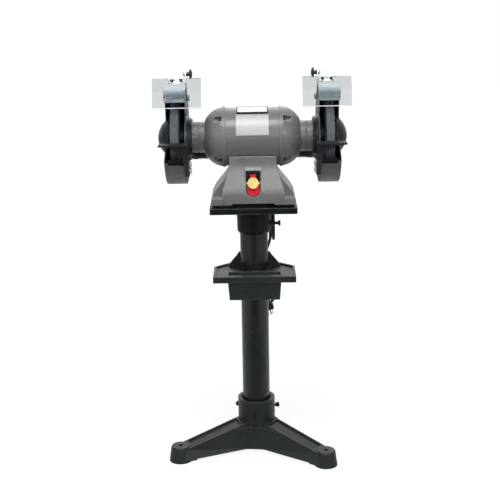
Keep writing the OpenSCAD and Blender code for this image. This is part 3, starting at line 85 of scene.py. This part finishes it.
def make_camera():
    """A long lens a little above the spindle, looking slightly down."""
    side = Vector((math.cos(YAW), math.sin(YAW), 0))
    ahead = Vector((-math.sin(YAW), math.cos(YAW), 0))
    up = Vector((0, 0, 1))
    look = ahead * math.cos(PITCH) - up * math.sin(PITCH)
    top = ahead * math.sin(PITCH) + up * math.cos(PITCH)
    data = bpy.data.cameras.new("camera")
    data.lens, data.sensor_width = LENS, SENSOR
    data.clip_end = 50
    camera = bpy.data.objects.new("camera", data)
    scene.collection.objects.link(camera)
    matrix = camera.matrix_world.to_3x3()
    matrix.col[0] = side * math.cos(ROLL) - top * math.sin(ROLL)
    matrix.col[1] = side * math.sin(ROLL) + top * math.cos(ROLL)
    matrix.col[2] = -look
    camera.matrix_world = matrix.to_4x4()
    camera.location = CAMERA_AT
    scene.camera = camera


make_camera()


# Node trees

def colour(red, green, blue):
    return (red, green, blue, 1.0)


def shade(c, k):
    return (min(1, c[0] * k), min(1, c[1] * k), min(1, c[2] * k), 1.0)


class Tree:
    """A node tree, with short ways to add nodes to it."""

    def __init__(self, tree):
        self.tree = tree

    def add(self, kind, inputs=None, **settings):
        node = self.tree.nodes.new(kind)
        for key, value in settings.items():
            setattr(node, key, value)
        for key, value in (inputs or {}).items():
            self.put(node.inputs[key], value)
        return node

    def put(self, socket, value):
        """Link the socket to another one, or set it."""
        if isinstance(value, bpy.types.NodeSocket):
            self.tree.links.new(value, socket)
        else:
            socket.default_value = value

    def math(self, operation, a, b=0.0):
        return self.add("ShaderNodeMath", {0: a, 1: b}, operation=operation).outputs[0]

    def below(self, value, limit):
        return self.math("LESS_THAN", value, limit)

    def above(self, value, limit):
        return self.math("GREATER_THAN", value, limit)

    def both(self, a, b):
        return self.math("MULTIPLY", a, b)

    def hypot(self, a, b):
        return self.math("SQRT", self.math("ADD", self.math("MULTIPLY", a, a), self.math("MULTIPLY", b, b)))

    def ramp(self, value, start, end, low, high):
        """low to high as value goes from start to end."""
        inputs = {"Value": value, "From Min": start, "From Max": end, "To Min": low, "To Max": high}
        return self.add("ShaderNodeMapRange", inputs).outputs[0]

    def split(self, vector):
        node = self.add("ShaderNodeSeparateXYZ", {0: vector})
        return node.outputs[0], node.outputs[1], node.outputs[2]

    def rays(self):
        """1 for rays from the camera or through clear pieces, and 1 for rays off gloss."""
        path = self.add("ShaderNodeLightPath")
        seen = self.math("MAXIMUM", path.outputs["Is Camera Ray"], path.outputs["Is Transmission Ray"])
        return seen, path.outputs["Is Glossy Ray"]


class Shader(Tree):
    """A material with a Principled shader."""

    def __init__(self, name):
        self.material = bpy.data.materials.new(name)
        self.material.use_nodes = True
        super().__init__(self.material.node_tree)
        self.main = self.tree.nodes["Principled BSDF"]
        self.place = self.add("ShaderNodeTexCoord").outputs["Object"]

    def noise(self, scale, detail=3.0, rough=0.5):
        inputs = {"Vector": self.place, "Scale": scale, "Detail": detail, "Roughness": rough}
        return self.add("ShaderNodeTexNoise", inputs).outputs["Fac"]

    def cells(self, scale):
        """One even random level for each cell."""
        tint = self.add("ShaderNodeTexVoronoi", {"Vector": self.place, "Scale": scale}).outputs["Color"]
        return self.add("ShaderNodeSeparateColor", {0: tint}).outputs[0]

    def spread(self, value, low, high, start=0.35, end=0.65):
        """low to high over the part of a noise's range that it mostly fills."""
        return self.ramp(value, start, end, low, high)

    def blend(self, factor, a, b):
        node = self.add("ShaderNodeMix", data_type="RGBA")
        self.put(node.inputs[0], factor)
        self.put(node.inputs[6], a)
        self.put(node.inputs[7], b)
        return node.outputs[2]

    def axes(self):
        return self.split(self.place)

    def bump(self, height, distance, strength, edge=0.0):
        """A fine relief, on edges that are rounded by a radius of edge."""
        node = self.add("ShaderNodeBump", {"Height": height, "Distance": distance, "Strength": strength})
        if edge:
            rounding = self.add("ShaderNodeBevel", {"Radius": edge}, samples=4)
            self.put(node.inputs["Normal"], rounding.outputs[0])
        self.put(self.main.inputs["Normal"], node.outputs[0])

    def outer_edge(self, reach):
        """1 on edges that stand out, 0 elsewhere."""
        inward = self.add("ShaderNodeAmbientOcclusion", {"Distance": reach}, inside=True, only_local=True,
                          samples=12)
        return self.spread(inward.outputs["AO"], 1, 0, 0.55, 0.92)

    def set(self, **values):
        for key, value in values.items():
            self.put(self.main.inputs[key.replace("_", " ")], value)
        return self.material


# Masks on the guards and their covers, among them painted shade

def off_middle(s):
    return s.math("ABSOLUTE", s.axes()[0])


def spindle_radius(s):
    _, y, z = s.axes()
    return s.hypot(y, s.math("SUBTRACT", z, SPINDLE_Z))


def hub_shade(s):
    """A guard's round seat on its end bell, darkened there as painted shade."""
    return s.both(s.below(off_middle(s), HUB_X), s.below(spindle_radius(s), HUB_R))


def guard_nose(s):
    """What stands out from the seat, round the spindle."""
    return s.both(s.below(off_middle(s), NOSE_X), s.below(spindle_radius(s), NOSE_R))


# Painted shade: the guard's inside is painted black
def guard_inside(s):
    return s.both(s.above(off_middle(s), INSIDE_X), s.below(spindle_radius(s), INSIDE_R))


def guard_edge(s):
    """The cut edge of a guard's inner wall, between its two faces."""
    x, r = off_middle(s), spindle_radius(s)
    wall = s.both(s.above(x, CUT_X[0]), s.below(x, CUT_X[1]))
    ring = s.both(s.above(r, CUT_R[0]), s.below(r, CUT_R[1]))
    return s.both(wall, ring)


# The cover's dome, coloured darker than its rim
def cover_dome(s):
    return s.below(spindle_radius(s), DOME_DARK_R)


# Painted shade: the cover's cup and the inside of its dome are painted black
def cover_inside(s):
    x, r = off_middle(s), spindle_radius(s)
    dome = s.hypot(s.math("SUBTRACT", x, DOME_X), r)
    cup = s.both(s.below(x, CUP_X), s.below(r, GUARD_BAND_R))
    cup = s.both(cup, s.above(dome, DOME_SHELL[1]))
    return s.math("MAXIMUM", cup, s.below(dome, DOME_SHELL[0]))


# Kinds of material

def enamel(name, base, rough=0.42, vary=0.10, grain=260.0, depth=0.00025, edge=0.0012, shine=0.5, coats=(),
           edge_highlight=None):
    """Paint over a casting: faint mottling, an orange-peel skin and softened edges.

    coats are pairs of a mask(shader) and the colour that lies there, and edge_highlight is the colour of a
    painted highlight on outer edges.
    """
    s = Shader(name)
    tone = s.blend(s.spread(s.noise(9.0, detail=4.0), 0, 1), shade(base, 1 - vary), shade(base, 1 + vary))
    for mask, coat in coats:
        tone = s.blend(mask(s), tone, coat)
    # Painted highlight: outer edges are lightened where light would catch them
    if edge_highlight:
        tone = s.blend(s.outer_edge(reach=0.003), tone, edge_highlight)
    gloss = s.spread(s.noise(40.0), rough - 0.06, rough + 0.06)
    s.bump(s.noise(grain, detail=2.0), depth, strength=0.2, edge=edge)
    return s.set(Base_Color=tone, Roughness=gloss, Specular_IOR_Level=shine)


def plated(name, base, rough=0.3, spangle=140.0, metal=0.85):
    """Zinc plate: metal with a faint crystal spangle and small scuffs."""
    s = Shader(name)
    tone = s.blend(s.cells(spangle), shade(base, 0.90), shade(base, 1.06))
    gloss = s.spread(s.noise(120.0), rough - 0.05, rough + 0.10)
    s.bump(s.noise(400.0), 0.0001, strength=0.2, edge=0.0006)
    return s.set(Base_Color=tone, Roughness=gloss, Metallic=metal)


def moulded(name, base, rough=0.45, grain=700.0, depth=0.0001, vary=0.12, shine=0.5):
    """Moulded plastic or rubber: a fine matt grain with slight wear."""
    s = Shader(name)
    tone = s.blend(s.spread(s.noise(30.0), 0, 1), shade(base, 1 - vary), shade(base, 1 + vary))
    gloss = s.spread(s.noise(90.0), rough - 0.06, rough + 0.06)
    s.bump(s.noise(grain), depth, strength=0.3, edge=0.0006)
    return s.set(Base_Color=tone, Roughness=gloss, Specular_IOR_Level=shine)


def grit(name):
    """A vitrified wheel: dark grains in a grey-blue bond."""
    s = Shader(name)
    bond = s.noise(500.0, detail=4.0, rough=0.7)
    tone = s.blend(s.cells(900.0), colour(0.040, 0.050, 0.062), colour(0.19, 0.21, 0.235))
    tone = s.blend(s.spread(bond, 0, 0.45), tone, colour(0.115, 0.135, 0.155))
    s.bump(bond, 0.0008, strength=0.8)
    return s.set(Base_Color=tone, Roughness=0.92)


def brushed(name, base, rough=0.35):
    """Machined steel with turning marks."""
    s = Shader(name)
    marks = s.add("ShaderNodeTexWave", {"Vector": s.place, "Scale": 300.0, "Distortion": 2.0}).outputs["Fac"]
    tone = s.blend(marks, shade(base, 0.85), base)
    gloss = s.spread(s.noise(80.0), rough - 0.05, rough + 0.08)
    s.bump(marks, 0.00005, strength=0.2, edge=0.0005)
    return s.set(Base_Color=tone, Roughness=gloss, Metallic=1.0)


def clear_sheet(name):
    """Clear polycarbonate: a pale grey tint, light scratches and a painted white glint along the lower edge."""
    s = Shader(name)
    glint_width = 0.0012
    _, y, z = s.axes()
    up = s.math("ADD", s.math("MULTIPLY", s.math("SUBTRACT", y, SHIELD_Y), math.sin(SHIELD_LEAN)),
                s.math("MULTIPLY", s.math("SUBTRACT", z, SHIELD_Z), math.cos(SHIELD_LEAN)))
    # Painted highlight: a band along the lower edge is made white and not clear
    edge = s.below(up, glint_width - SHIELD_H)
    tone = s.blend(edge, colour(0.630, 0.655, 0.660), colour(0.95, 0.95, 0.95))
    gloss = s.spread(s.noise(200.0), 0.02, 0.07)
    s.bump(s.noise(60.0, detail=6.0), 0.00002, strength=0.1)
    return s.set(Base_Color=tone, Roughness=gloss, IOR=1.12, Transmission_Weight=s.math("SUBTRACT", 1.0, edge))


def printed(name, base, half_w, low, high, margin=0.0016):
    """A blank plate: off-white with a thin grey rule near its edge, across X and up Z."""
    s = Shader(name)
    x, _, z = s.axes()
    side = s.above(s.math("ABSOLUTE", x), half_w - margin)
    line = s.math("MAXIMUM", side, s.math("MAXIMUM", s.above(z, high), s.below(z, low)))
    paper = s.blend(s.spread(s.noise(60.0), 0, 1), shade(base, 0.96), base)
    tone = s.blend(line, paper, colour(0.42, 0.42, 0.42))
    s.bump(s.noise(500.0), 0.00004, strength=0.2, edge=0.0004)
    return s.set(Base_Color=tone, Roughness=0.38)


# Materials, by slot and then for pieces with a material of their own, some with painted shade

STAND = colour(0.0148, 0.0202, 0.0198)
GREY = colour(0.145, 0.147, 0.145)
BASE = colour(0.150, 0.152, 0.154)
GUARD = colour(0.104, 0.109, 0.112)
ZINC = colour(0.50, 0.55, 0.57)
BLACK = colour(0.010, 0.010, 0.011)
# Lighter grey for the edge of a guard's inner wall, next to its darker paint
EDGE_GREY = colour(0.30, 0.30, 0.29)
MATERIALS = {
    "stand_black": enamel("stand_paint", STAND, rough=0.40, vary=0.16, grain=330.0, depth=0.0004, edge=0.0016,
                          shine=0.35, edge_highlight=shade(STAND, 3.2)),
    "column_black": enamel("column_paint", shade(STAND, 0.7), rough=0.26, vary=0.14, grain=420.0, depth=0.0001,
                           edge=0.0010),
    "casting_grey": enamel("bell_enamel", GREY, rough=0.36, shine=0.4, edge_highlight=shade(GREY, 1.6)),
    "base_grey": enamel("base_enamel", BASE, rough=0.33, vary=0.06, grain=300.0, depth=0.00015, edge=0.0018,
                        shine=1.0, edge_highlight=shade(GREY, 2.0)),
    "barrel_grey": enamel("barrel_enamel", GREY, rough=0.34, vary=0.07, grain=420.0, depth=0.00015, shine=0.4),
    "zinc": plated("zinc_plate", ZINC),
    "steel": brushed("machined_steel", colour(0.55, 0.55, 0.57)),
    "black_steel": moulded("black_oxide", BLACK, rough=0.38, grain=900.0, shine=0.3),
    "rest_black": enamel("rest_paint", colour(0.008, 0.008, 0.009), rough=0.44, vary=0.2, grain=350.0,
                         depth=0.0004, edge=0.0010, shine=0.3),
    "grit": grit("wheel_grit"),
    "red": moulded("red_plastic", colour(0.80, 0.020, 0.035), rough=0.30),
    "yellow": moulded("yellow_plastic", colour(1.0, 0.77, 0.24), rough=0.34),
    "black_plastic": moulded("black_plastic", colour(0.011, 0.011, 0.012), rough=0.42),
    "hose": moulded("hose_rubber", colour(0.026, 0.026, 0.027), rough=0.5, grain=800.0, depth=0.0002),
    "rubber": moulded("black_rubber", colour(0.012, 0.012, 0.013), rough=0.55, grain=800.0, depth=0.0002,
                      shine=0.35),
    "plate_white": printed("rating_print", colour(0.50, 0.50, 0.49), half_w=0.043, low=0.9045, high=0.9510),
    "clear": clear_sheet("clear_sheet"),
    "windings": brushed("laminations", colour(0.35, 0.31, 0.28), rough=0.5),
}
# Painted shade: the hub darkened to 0.14 of the guard's grey, and the inside painted black
guard_out = enamel("guard_enamel", GUARD, rough=0.40, vary=0.09, shine=0.35, coats=[
    (hub_shade, shade(GUARD, 0.14)), (guard_nose, GREY), (guard_edge, EDGE_GREY), (guard_inside, BLACK)])
# Painted shade: the cover's inside painted black; its dome coloured darker than the rim
cover_out = enamel("cover_enamel", GUARD, rough=0.38, vary=0.09, shine=0.35, coats=[
    (cover_dome, shade(GUARD, 0.20)), (cover_inside, BLACK)])
# Painted shade: the top plate is 0.3 of the stand's colour, for its front face in shadow
plate_shaded = enamel("plate_shaded_paint", shade(STAND, 0.3), rough=0.40, vary=0.14, grain=330.0, depth=0.0003,
                   edge=0.0016, shine=0.2, edge_highlight=shade(STAND, 4))
pot_out = enamel("pot_paint", shade(STAND, 1.6), rough=0.40, vary=0.14, grain=330.0, depth=0.0004, edge=0.0016,
                 shine=0.35, edge_highlight=shade(STAND, 3.2))
bright_zinc = plated("bright_zinc", colour(0.82, 0.85, 0.86), rough=0.45, spangle=30.0, metal=0.6)
dull_zinc = plated("dull_zinc", colour(0.40, 0.465, 0.49), rough=0.36)
OWN_MATERIAL = {
    "guard": guard_out, "guard_cover": cover_out, "top_plate": plate_shaded, "water_pot": pot_out,
    "shield_bracket": bright_zinc, "tool_rest_bolts": bright_zinc, "spark_arrester": dull_zinc,
    "name_plate": MATERIALS["black_plastic"],
}
SLOT_OF = {p["node"]: p["material_slot"] for p in frame["record"]["subparts"]}

for name, node in NODES.items():
    kind = name.removeprefix("left_").removeprefix("right_")
    node.data.materials.clear()
    node.data.materials.append(OWN_MATERIAL[kind] if kind in OWN_MATERIAL else MATERIALS[SLOT_OF[name]])


# Meshes

def mesh_piece(name, vertices, faces, material, body="frame"):
    mesh = bpy.data.meshes.new(name)
    mesh.from_pydata([tuple(v) for v in vertices], [], faces)
    mesh.polygons.foreach_set("use_smooth", [True] * len(mesh.polygons))
    mesh.update()
    mesh.set_sharp_from_angle(angle=math.radians(35))
    obj = bpy.data.objects.new(name, mesh)
    scene.collection.objects.link(obj)
    obj.data.materials.append(material)
    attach(obj, body)
    return obj


def lathe(name, profile, origin, axis, material, steps=72):
    """A closed skin turned about a line through origin, from points of (distance along the axis, radius)."""
    w = Vector(axis)
    u = w.orthogonal().normalized()
    v = w.cross(u)
    points, faces, n = [], [], len(profile)
    for i in range(steps):
        a = 2 * math.pi * i / steps
        points += [Vector(origin) + w * t + (u * math.cos(a) + v * math.sin(a)) * r for t, r in profile]
    for i in range(steps):
        j = (i + 1) % steps
        for k in range(n):
            m = (k + 1) % n
            faces.append((i * n + k, j * n + k, j * n + m, i * n + m))
    return mesh_piece(name, points, faces, material)


def round_rect(half_w, half_h, r, steps=6):
    """An outline with rounded corners, turning from the first axis to the second."""
    outline = []
    for cx, cy, start in ((1, 1, 0), (-1, 1, 90), (-1, -1, 180), (1, -1, 270)):
        for k in range(steps + 1):
            a = math.radians(start + 90 * k / steps)
            outline.append((cx * (half_w - r) + r * math.cos(a), cy * (half_h - r) + r * math.sin(a)))
    return outline


# Cord: the same route as the solids, in millimetres, rounded between their points

LEAD = [(56, 118, 733), (56, 127, 733), (56, 137, 730.5), (56.2, 147, 724.5), (56.6, 155, 715)]
TAIL = [
    (48, 159, 582), (46.5, 159, 570), (42.5, 158.5, 557), (37.5, 158, 543), (34.5, 157, 529),
    (33.5, 156, 514), (35.5, 155, 497), (40.5, 154, 479), (47.5, 153, 461), (54, 152, 443),
    (58, 152, 427), (59.5, 152, 411), (57.5, 152, 397), (51, 152, 385), (40, 152, 377), (26, 152, 373.8),
    (11, 151.5, 374), (-4, 149.5, 376.5), (-21, 146, 382.3), (-33.5, 142.5, 395), (-38, 139, 412),
    (-33.2, 136, 431), (-20, 133, 444.2), (-2, 131, 449), (16, 130, 444.2), (29.2, 129, 431),
    (34, 128, 413), (35, 128, 398),
]
ROUNDING_STEPS = 6


def hank():
    """Three loops folded into a hank, drawn in at the waist, in two layers that swap half-way."""
    x0, y0, z0, loops, step, layer = 52.5, 201, 645, 3, 9.2, 4.7
    waist, end_r, waist_r = 8, 25.5, 48
    soft, swap, turn_steps = 0.003, 0.6, 96
    mid = math.sqrt((end_r + waist_r) ** 2 - (waist + waist_r) ** 2)
    arc = math.atan2(mid, waist + waist_r)
    end_run = end_r * (math.pi / 2 + arc)
    quarter = end_run + waist_r * arc
    first = 0.25 * end_r * math.pi / 2 / quarter
    last = loops + 0.5 - first
    points = []
    count = int((last - first) * turn_steps)
    for i in range(count + 1):
        turn = first + (last - first) * i / count
        off = turn - first - loops / 2
        k = math.sqrt(off * off + soft) * step
        c = min(1, max(0, (off + swap / 2) / swap))
        side_x = c * c * (3 - 2 * c) * 2 - 1
        part = (turn - math.floor(turn)) * 4
        q = min(3, int(part))
        s = quarter * (part - q if q % 2 == 0 else q + 1 - part)
        if s < end_run:
            a = s / end_r
            p = (end_r * math.sin(a), mid + end_r * math.cos(a), math.sin(a), math.cos(a))
        else:
            e = (quarter - s) / waist_r
            p = (waist + waist_r * (1 - math.cos(e)), waist_r * math.sin(e), math.cos(e), -math.sin(e))
        way, up = (-1 if q < 2 else 1), (1 if q in (0, 3) else -1)
        points.append((x0 - side_x * layer, y0 + way * (p[0] + k * p[2]), z0 + up * (p[1] + k * p[3])))
    return points


def rounded(points, steps=ROUNDING_STEPS):
    """A smooth run through points."""
    p = [Vector(v) for v in points]
    p = [p[0] * 2 - p[1]] + p + [p[-1] * 2 - p[-2]]
    out = []
    for a, b, c, d in zip(p, p[1:], p[2:], p[3:]):
        for k in range(steps):
            t = k / steps
            square, cube = 2 * a - 5 * b + 4 * c - d, 3 * b - a - 3 * c + d
            out.append(0.5 * (2 * b + (c - a) * t + square * t * t + cube * t ** 3))
    return out + [p[-2]]


def make_cord():
    coil = [Vector(v) for v in hank()]
    shared = ROUNDING_STEPS + 1  # points of a run that lie on the coil, which leads it in or out
    lead = rounded(LEAD + [coil[0], coil[1]])[:-shared]
    tail = rounded([coil[-2], coil[-1]] + TAIL)[shared:]
    route = [v / 1000 for v in lead + coil + tail]
    curve = bpy.data.curves.new("cord", "CURVE")
    curve.dimensions = "3D"
    curve.bevel_depth = CORD_D / 2
    curve.bevel_resolution = 5
    curve.use_fill_caps = True
    line = curve.splines.new("POLY")
    line.points.add(len(route) - 1)
    for point, v in zip(line.points, route):
        point.co = (v.x, v.y, v.z, 1)
    cord = bpy.data.objects.new("cord", curve)
    scene.collection.objects.link(cord)
    curve.materials.append(MATERIALS["rubber"])
    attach(cord, "frame")
    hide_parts("cord_lead", "cord_hank", "cord_tail")
    make_tie()


def make_tie():
    """A rubber strap round the waist of the hank, with beaded edges."""
    low, high = (Vector(v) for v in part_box("hank_tie"))
    middle, half = (low + high) / 2, (high - low) / 2
    ease, web, wall, corner = 0.0004, 0.0005, 0.0014, 0.0055
    rings = []
    for inset, z in ((ease, 1), (0, 0.9), (0, 0.7), (web, 0.6), (web, -0.6), (0, -0.7), (0, -0.9), (ease, -1),
                     (wall, -1), (wall, 1)):
        outline = round_rect(half.x - inset, half.y - inset, corner - inset)
        rings.append([middle + Vector((u, v, z * half.z)) for u, v in outline])
    points, faces, n = [], [], len(rings[0])
    for k, ring in enumerate(rings):
        m = (k + 1) % len(rings)
        points += ring
        faces += [(k * n + i, m * n + i, m * n + (i + 1) % n, k * n + (i + 1) % n) for i in range(n)]
    tie = mesh_piece("hank_strap", points, faces, MATERIALS["rubber"])
    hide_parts("hank_tie")
    return tie


# Other pieces made here

def make_gland():
    """A tapered strain relief with a flange and soft ribs."""
    root, bore, body_r, tip_r, length = -0.008, 0.00425, 0.0082, 0.0058, 0.030
    flange_r, flange_l, ease, taper = 0.0102, 0.004, 0.0005, 0.0025
    ribs, first_rib, pitch = 8, 0.0055, 0.0029
    profile = [(root, bore), (root, body_r), (0, body_r), (0, flange_r - ease), (ease, flange_r),
               (flange_l - ease, flange_r), (flange_l, flange_r - ease), (flange_l, body_r + 0.0001)]
    for i in range(ribs):
        t = first_rib + pitch * i
        r = body_r - taper * (t - flange_l) / (length - flange_l)
        profile += [(t, r), (t + 0.0002, r - 0.0007), (t + 0.0011, r - 0.0008), (t + 0.0013, r - 0.0001)]
    profile += [(length - ease, tip_r), (length, tip_r - ease), (length, bore)]
    gland = lathe("gland_ribbed", profile, GLAND_AT, (0, 1, 0), MATERIALS["rubber"], 48)
    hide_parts("cord_gland")


def make_hose(side):
    """A ribbed hose between two smooth cuffs."""
    x0, x1, cuff, ribs, rib_steps = 0.064, 0.168, 0.018, 10, 12
    crest, valley, bore, seat = 0.027, 0.0238, 0.021, 0.0248
    ease, lip, groove, fullness = 0.0008, 0.002, 0.0006, 0.7
    start, end, count = x0 + cuff, x1 - cuff, ribs * rib_steps
    outer = [(x0, crest - ease), (x0 + ease, crest), (start - lip, crest), (start - groove, crest - ease)]
    for i in range(count + 1):
        wave = 0.5 + 0.5 * math.cos(2 * math.pi * i / rib_steps + math.pi)
        outer.append((start + (end - start) * i / count, valley + (crest - valley) * wave ** fullness))
    outer += [(end + groove, crest - ease), (end + lip, crest), (x1 - ease, crest), (x1, crest - ease)]
    inner = [(x1, seat), (end, seat), (end, bore), (start, bore), (start, seat), (x0, seat)]
    name = "right" if side > 0 else "left"
    hose = lathe(name + "_hose_ribbed", outer + inner, (0, HOSE_Y, HOSE_Z), (side, 0, 0), MATERIALS["hose"])
    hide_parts(name + "_dust_hose")


def make_name_panel():
    """A blank white panel with rounded corners, let into the black name plate."""
    reach, half_w, half_h, corner = 0.0813, 0.0385, 0.0140, 0.003
    ease, rise, depth = 0.0004, 0.0003, 0.0006
    outline = round_rect(half_w, half_h, corner)
    points = []
    for inset, lift in ((0, -depth), (0, 0), (ease, rise)):
        h = reach + lift - rise
        for u, v in outline:
            u, v = u * (1 - inset / half_w), v * (1 - inset / half_h)
            y = v * math.cos(NAME_TILT) - h * math.sin(NAME_TILT)
            points.append((u, y, SPINDLE_Z + v * math.sin(NAME_TILT) + h * math.cos(NAME_TILT)))
    n = len(outline)
    faces = [(i, (i + 1) % n, n + (i + 1) % n, n + i) for i in range(n)]
    faces += [(n + i, n + (i + 1) % n, 2 * n + (i + 1) % n, 2 * n + i) for i in range(n)]
    faces += [tuple(range(2 * n, 3 * n)), tuple(reversed(range(n)))]
    panel = mesh_piece("name_panel", points, faces, moulded("name_face", colour(0.80, 0.80, 0.79), rough=0.35))


make_cord()
make_gland()
make_hose(-1)
make_hose(1)
make_name_panel()


# Floor, light and background

def make_stage():
    """A white floor that shows only a faint shadow near the feet, and is dim where gloss reflects its front."""
    half, white, glow_level = 12, 0.80, 1.06
    mesh = bpy.data.meshes.new("floor")
    corners = [(-half, -half, 0), (half, -half, 0), (half, half, 0), (-half, half, 0)]
    mesh.from_pydata(corners, [], [(0, 1, 2, 3)])
    floor = bpy.data.objects.new("floor", mesh)
    scene.collection.objects.link(floor)
    material = bpy.data.materials.new("floor_white")
    material.use_nodes = True
    material.node_tree.nodes.clear()
    t = Tree(material.node_tree)
    seen, gloss = t.rays()
    place = t.add("ShaderNodeTexCoord").outputs["Object"]
    away = t.add("ShaderNodeVectorMath", {0: place}, operation="LENGTH").outputs["Value"]
    shown = t.both(seen, t.ramp(away, 0.3, 0.9, 0.86, 1.0))
    x, y, _ = t.split(place)
    side = t.ramp(t.math("ABSOLUTE", x), 0.5, 1.3, 0.15, 1.0)
    back = t.ramp(y, -0.6, 0.3, 0.15, 1.0)
    tone = t.ramp(gloss, 0, 1, white, t.math("MAXIMUM", side, back))
    tint = t.add("ShaderNodeCombineColor", {0: tone, 1: tone, 2: tone}).outputs[0]
    matt = t.add("ShaderNodeBsdfDiffuse", {"Color": tint}).outputs[0]
    glow = t.add("ShaderNodeEmission", {"Strength": glow_level}).outputs[0]
    mix = t.add("ShaderNodeMixShader", {0: shown, 1: matt, 2: glow}).outputs[0]
    t.add("ShaderNodeOutputMaterial", {0: mix})
    mesh.materials.append(material)


def make_world():
    """White behind the object; its light comes from that backdrop, a panel in front and a dim room."""
    panel_up, room_level, panel_shine, matt_level = 0.30, 0.20, 2.2, 0.65
    world = bpy.data.worlds.new("world")
    scene.world = world
    world.use_nodes = True
    t = Tree(world.node_tree)
    sky = world.node_tree.nodes["Background"]
    t.put(sky.inputs["Color"], (1, 1, 1, 1))
    seen, gloss = t.rays()
    _, y, z = t.split(t.add("ShaderNodeTexCoord").outputs["Generated"])
    behind = t.ramp(y, 0.15, 0.6, 0.0, 1.0)
    off_panel = t.math("ABSOLUTE", t.math("SUBTRACT", z, panel_up))
    panel = t.both(t.ramp(off_panel, 0.08, 0.26, 1.0, 0.0), t.ramp(y, -0.2, -0.5, 0.0, 1.0))
    room = t.ramp(behind, 0, 1, room_level, 1.0)
    shine = t.math("ADD", room, t.math("MULTIPLY", panel, panel_shine))
    matt = t.math("MULTIPLY", t.math("MAXIMUM", room, panel), matt_level)
    level = t.ramp(gloss, 0, 1, matt, shine)
    t.put(sky.inputs["Strength"], t.math("MAXIMUM", level, seen))


def lamp(name, place, size, power):
    data = bpy.data.lights.new(name, "AREA")
    data.energy, data.size = power, size
    obj = bpy.data.objects.new(name, data)
    obj.location = place
    obj.rotation_euler = (LAMP_AIM - Vector(place)).to_track_quat("-Z", "Y").to_euler()
    scene.collection.objects.link(obj)


make_stage()
make_world()
lamp("key", (-0.15, -1.2, 3.05), size=1.0, power=54)
lamp("fill", (0.9, -2.3, 1.9), size=1.2, power=14)
lamp("back", (0.0, 2.0, 2.4), size=1.4, power=12)
